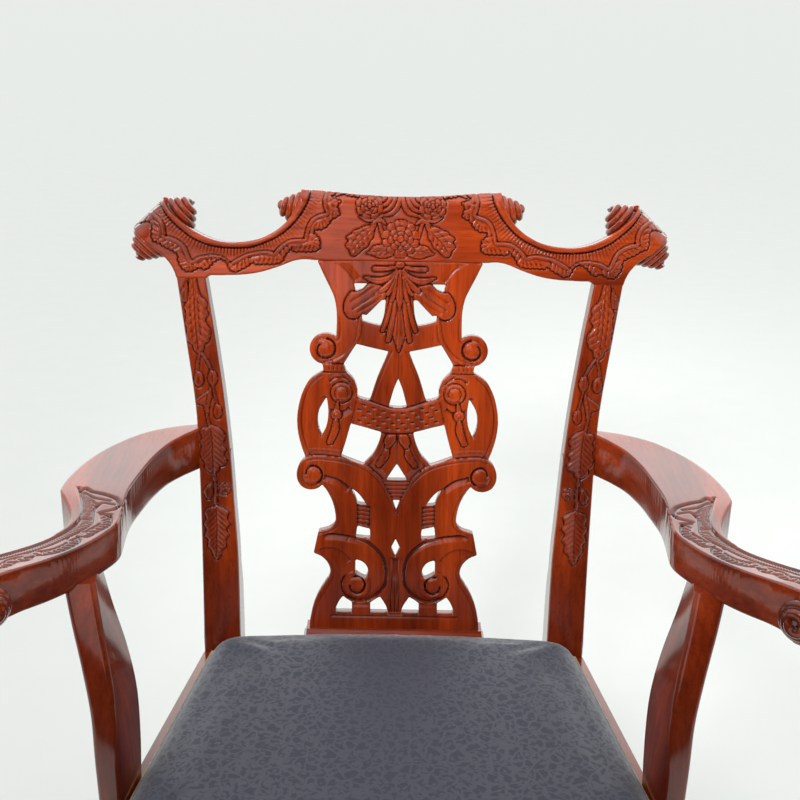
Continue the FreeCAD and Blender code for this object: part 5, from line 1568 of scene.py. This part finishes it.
def dress(node, material, bevel=0.0):
    """Gives a CAD part its material, and eases its sawn edges by a bevel in metres."""
    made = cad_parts[node]
    made.data.materials.clear()
    made.data.materials.append(material)
    if bevel:
        ease_edges = made.modifiers.new("eased edges", "BEVEL")
        ease_edges.width = bevel
        ease_edges.segments = 3
        ease_edges.limit_method = "ANGLE"
        ease_edges.angle_limit = math.radians(40)


def dress_cad_parts():
    """Gives every CAD part that is still there its material."""
    pairs = ("right_", "left_")
    for node in ("front_rail", "rear_rail", "splat_shoe"):
        dress(node, ACROSS, 0.0012)
    for pair in pairs:
        dress(pair + "side_rail", DEEP, 0.0012)
        dress(pair + "front_leg", UPRIGHT, 0.0010)
        dress(pair + "front_knee_bracket", ACROSS, 0.0012)
        dress(pair + "side_knee_bracket", DEEP, 0.0012)
        for node in ("front_corner_block", "rear_corner_block", "seat_frame_side"):
            dress(pair + node, PINE, 0.0006)
    for node in ("rear_seat_cleat", "seat_frame_front", "seat_frame_rear"):
        dress(node, PINE, 0.0006)
    dress("arm_screw_plugs", UPRIGHT)
    dress("arm_support_dowels", PINE)
    for node in ("arm_screws", "arm_support_screws", "corner_block_screws"):
        dress(node, STEEL)
    dress("seat_webbing", JUTE)
    dress("seat_dust_sheet", DUST)


# ------------------------------------------------------------------ studio

def stage_plane(name, size, place, turn, material):
    """A square that belongs to the studio."""
    bpy.ops.mesh.primitive_plane_add(size=size, location=place, rotation=turn)
    made = bpy.context.object
    made.name = name
    made.data.materials.append(material)
    return made


def lamp(name, kind, energy, place, aim, size=None, spread=180, glint=True, wash=True):
    """A light aimed at a point. It shows in reflections if glint, and lights dull faces if wash."""
    light = bpy.data.lights.new(name, kind)
    light.energy = energy
    if kind == "AREA":
        light.shape = "RECTANGLE"
        light.size, light.size_y = size
        light.spread = math.radians(spread)
    else:
        light.angle = math.radians(spread)
    made = bpy.data.objects.new(name, light)
    made.visible_glossy = glint
    made.visible_diffuse = wash
    made.location = place
    made.rotation_euler = (Vector(aim) - Vector(place)).to_track_quat("-Z", "Y").to_euler()
    bpy.context.collection.objects.link(made)


def make_studio():
    """A pale floor, soft lamps and a room that is brighter behind than in front."""
    floor = speckled("pale studio floor", (0.80, 0.815, 0.80), (0.81, 0.825, 0.81), 0.8, 12)
    stage_plane("studio_floor", 800, (0, 0, 0), (0, 0, 0), floor)
    # A black card in front, itself unseen, keeps the pale floor out of the varnish's reflections.
    flag = speckled("black studio flag", (0.010, 0.010, 0.010), (0.016, 0.016, 0.016), 0.9, 40)
    card = stage_plane("front_flag", 6, (0, -2.0, -2.05), (math.pi / 2, 0, 0), flag)
    card.visible_camera = card.visible_shadow = False
    lamp("softbox", "AREA", 2.6, (-0.45, -1.6, 1.45), (0, 0.1, 1.0), (1.1, 0.9))
    lamp("key", "AREA", 5.2, (-0.45, -1.5, 1.9), (0, 0.15, 1.10), (0.5, 0.35), 40, glint=False)
    lamp("strip", "AREA", 6, (-0.9, -1.2, 2.1), (0, 0.15, 0.85), (0.9, 0.25), wash=False)
    lamp("back_panel", "AREA", 48, (0, 3.5, 2.2), (0, 0, 0.7), (6, 1.5), wash=False)
    lamp("overhead", "SUN", 0.35, (0, 0, 3), (0, 0, 0), spread=65)
    world = bpy.data.worlds.new("soft room")
    world.use_nodes = True
    tree = world.node_tree
    sky = tree.nodes["Background"]
    sky.inputs["Color"].default_value = (0.96, 0.98, 0.96, 1)
    toward = add_node(tree, "ShaderNodeVectorMath", operation="DOT_PRODUCT")
    toward.inputs[1].default_value = (0, 1, 1.6)
    link(tree, add_node(tree, "ShaderNodeTexCoord").outputs["Generated"], toward.inputs[0])
    dim = add_node(tree, "ShaderNodeMapRange")
    for key, value in (("From Min", 0.1), ("From Max", 0.9), ("To Min", 0.03), ("To Max", 1.13)):
        dim.inputs[key].default_value = value
    link(tree, toward.outputs["Value"], dim.inputs["Value"])
    link(tree, dim.outputs["Result"], sky.inputs["Strength"])
    bpy.context.scene.world = world
    bpy.context.scene.view_settings.view_transform = "Standard"


CAMERA_PLACE = (-0.00328, 1.2373, 1.2300)  # across, in front of the back's root, and up
CAMERA_ANGLES = (19.887, 0.25, 1.041)  # down, to the right, and rolled, in degrees
CAMERA_LENS = 54


def make_camera():
    """The camera, in front of the chair and looking down on it."""
    camera = bpy.data.cameras.new("camera")
    camera.lens = CAMERA_LENS
    camera.sensor_width = 36
    camera.dof.use_dof = False
    view = bpy.data.objects.new("camera", camera)
    bpy.context.collection.objects.link(view)
    pitch, yaw, roll = (math.radians(angle) for angle in CAMERA_ANGLES)
    ahead = Vector((math.sin(yaw) * math.cos(pitch), math.cos(yaw) * math.cos(pitch), -math.sin(pitch)))
    level = Vector((math.cos(yaw), -math.sin(yaw), 0))
    up = level.cross(ahead)
    right = math.cos(roll) * level + math.sin(roll) * up
    top = math.cos(roll) * up - math.sin(roll) * level
    turned = Matrix((right, top, -ahead)).transposed().to_4x4()
    x, ahead_of_back, height = CAMERA_PLACE
    view.matrix_world = Matrix.Translation((x, ROOT_Y - ahead_of_back, height)) @ turned
    bpy.context.scene.camera = view


make_crest()
make_splat()
both_sides(crest_scrolls)
both_sides(make_post)
both_sides(make_arm, make_arm_grid())
both_sides(make_support)
both_sides(leg_carving)
make_seat()
dress_cad_parts()
make_studio()
make_camera()
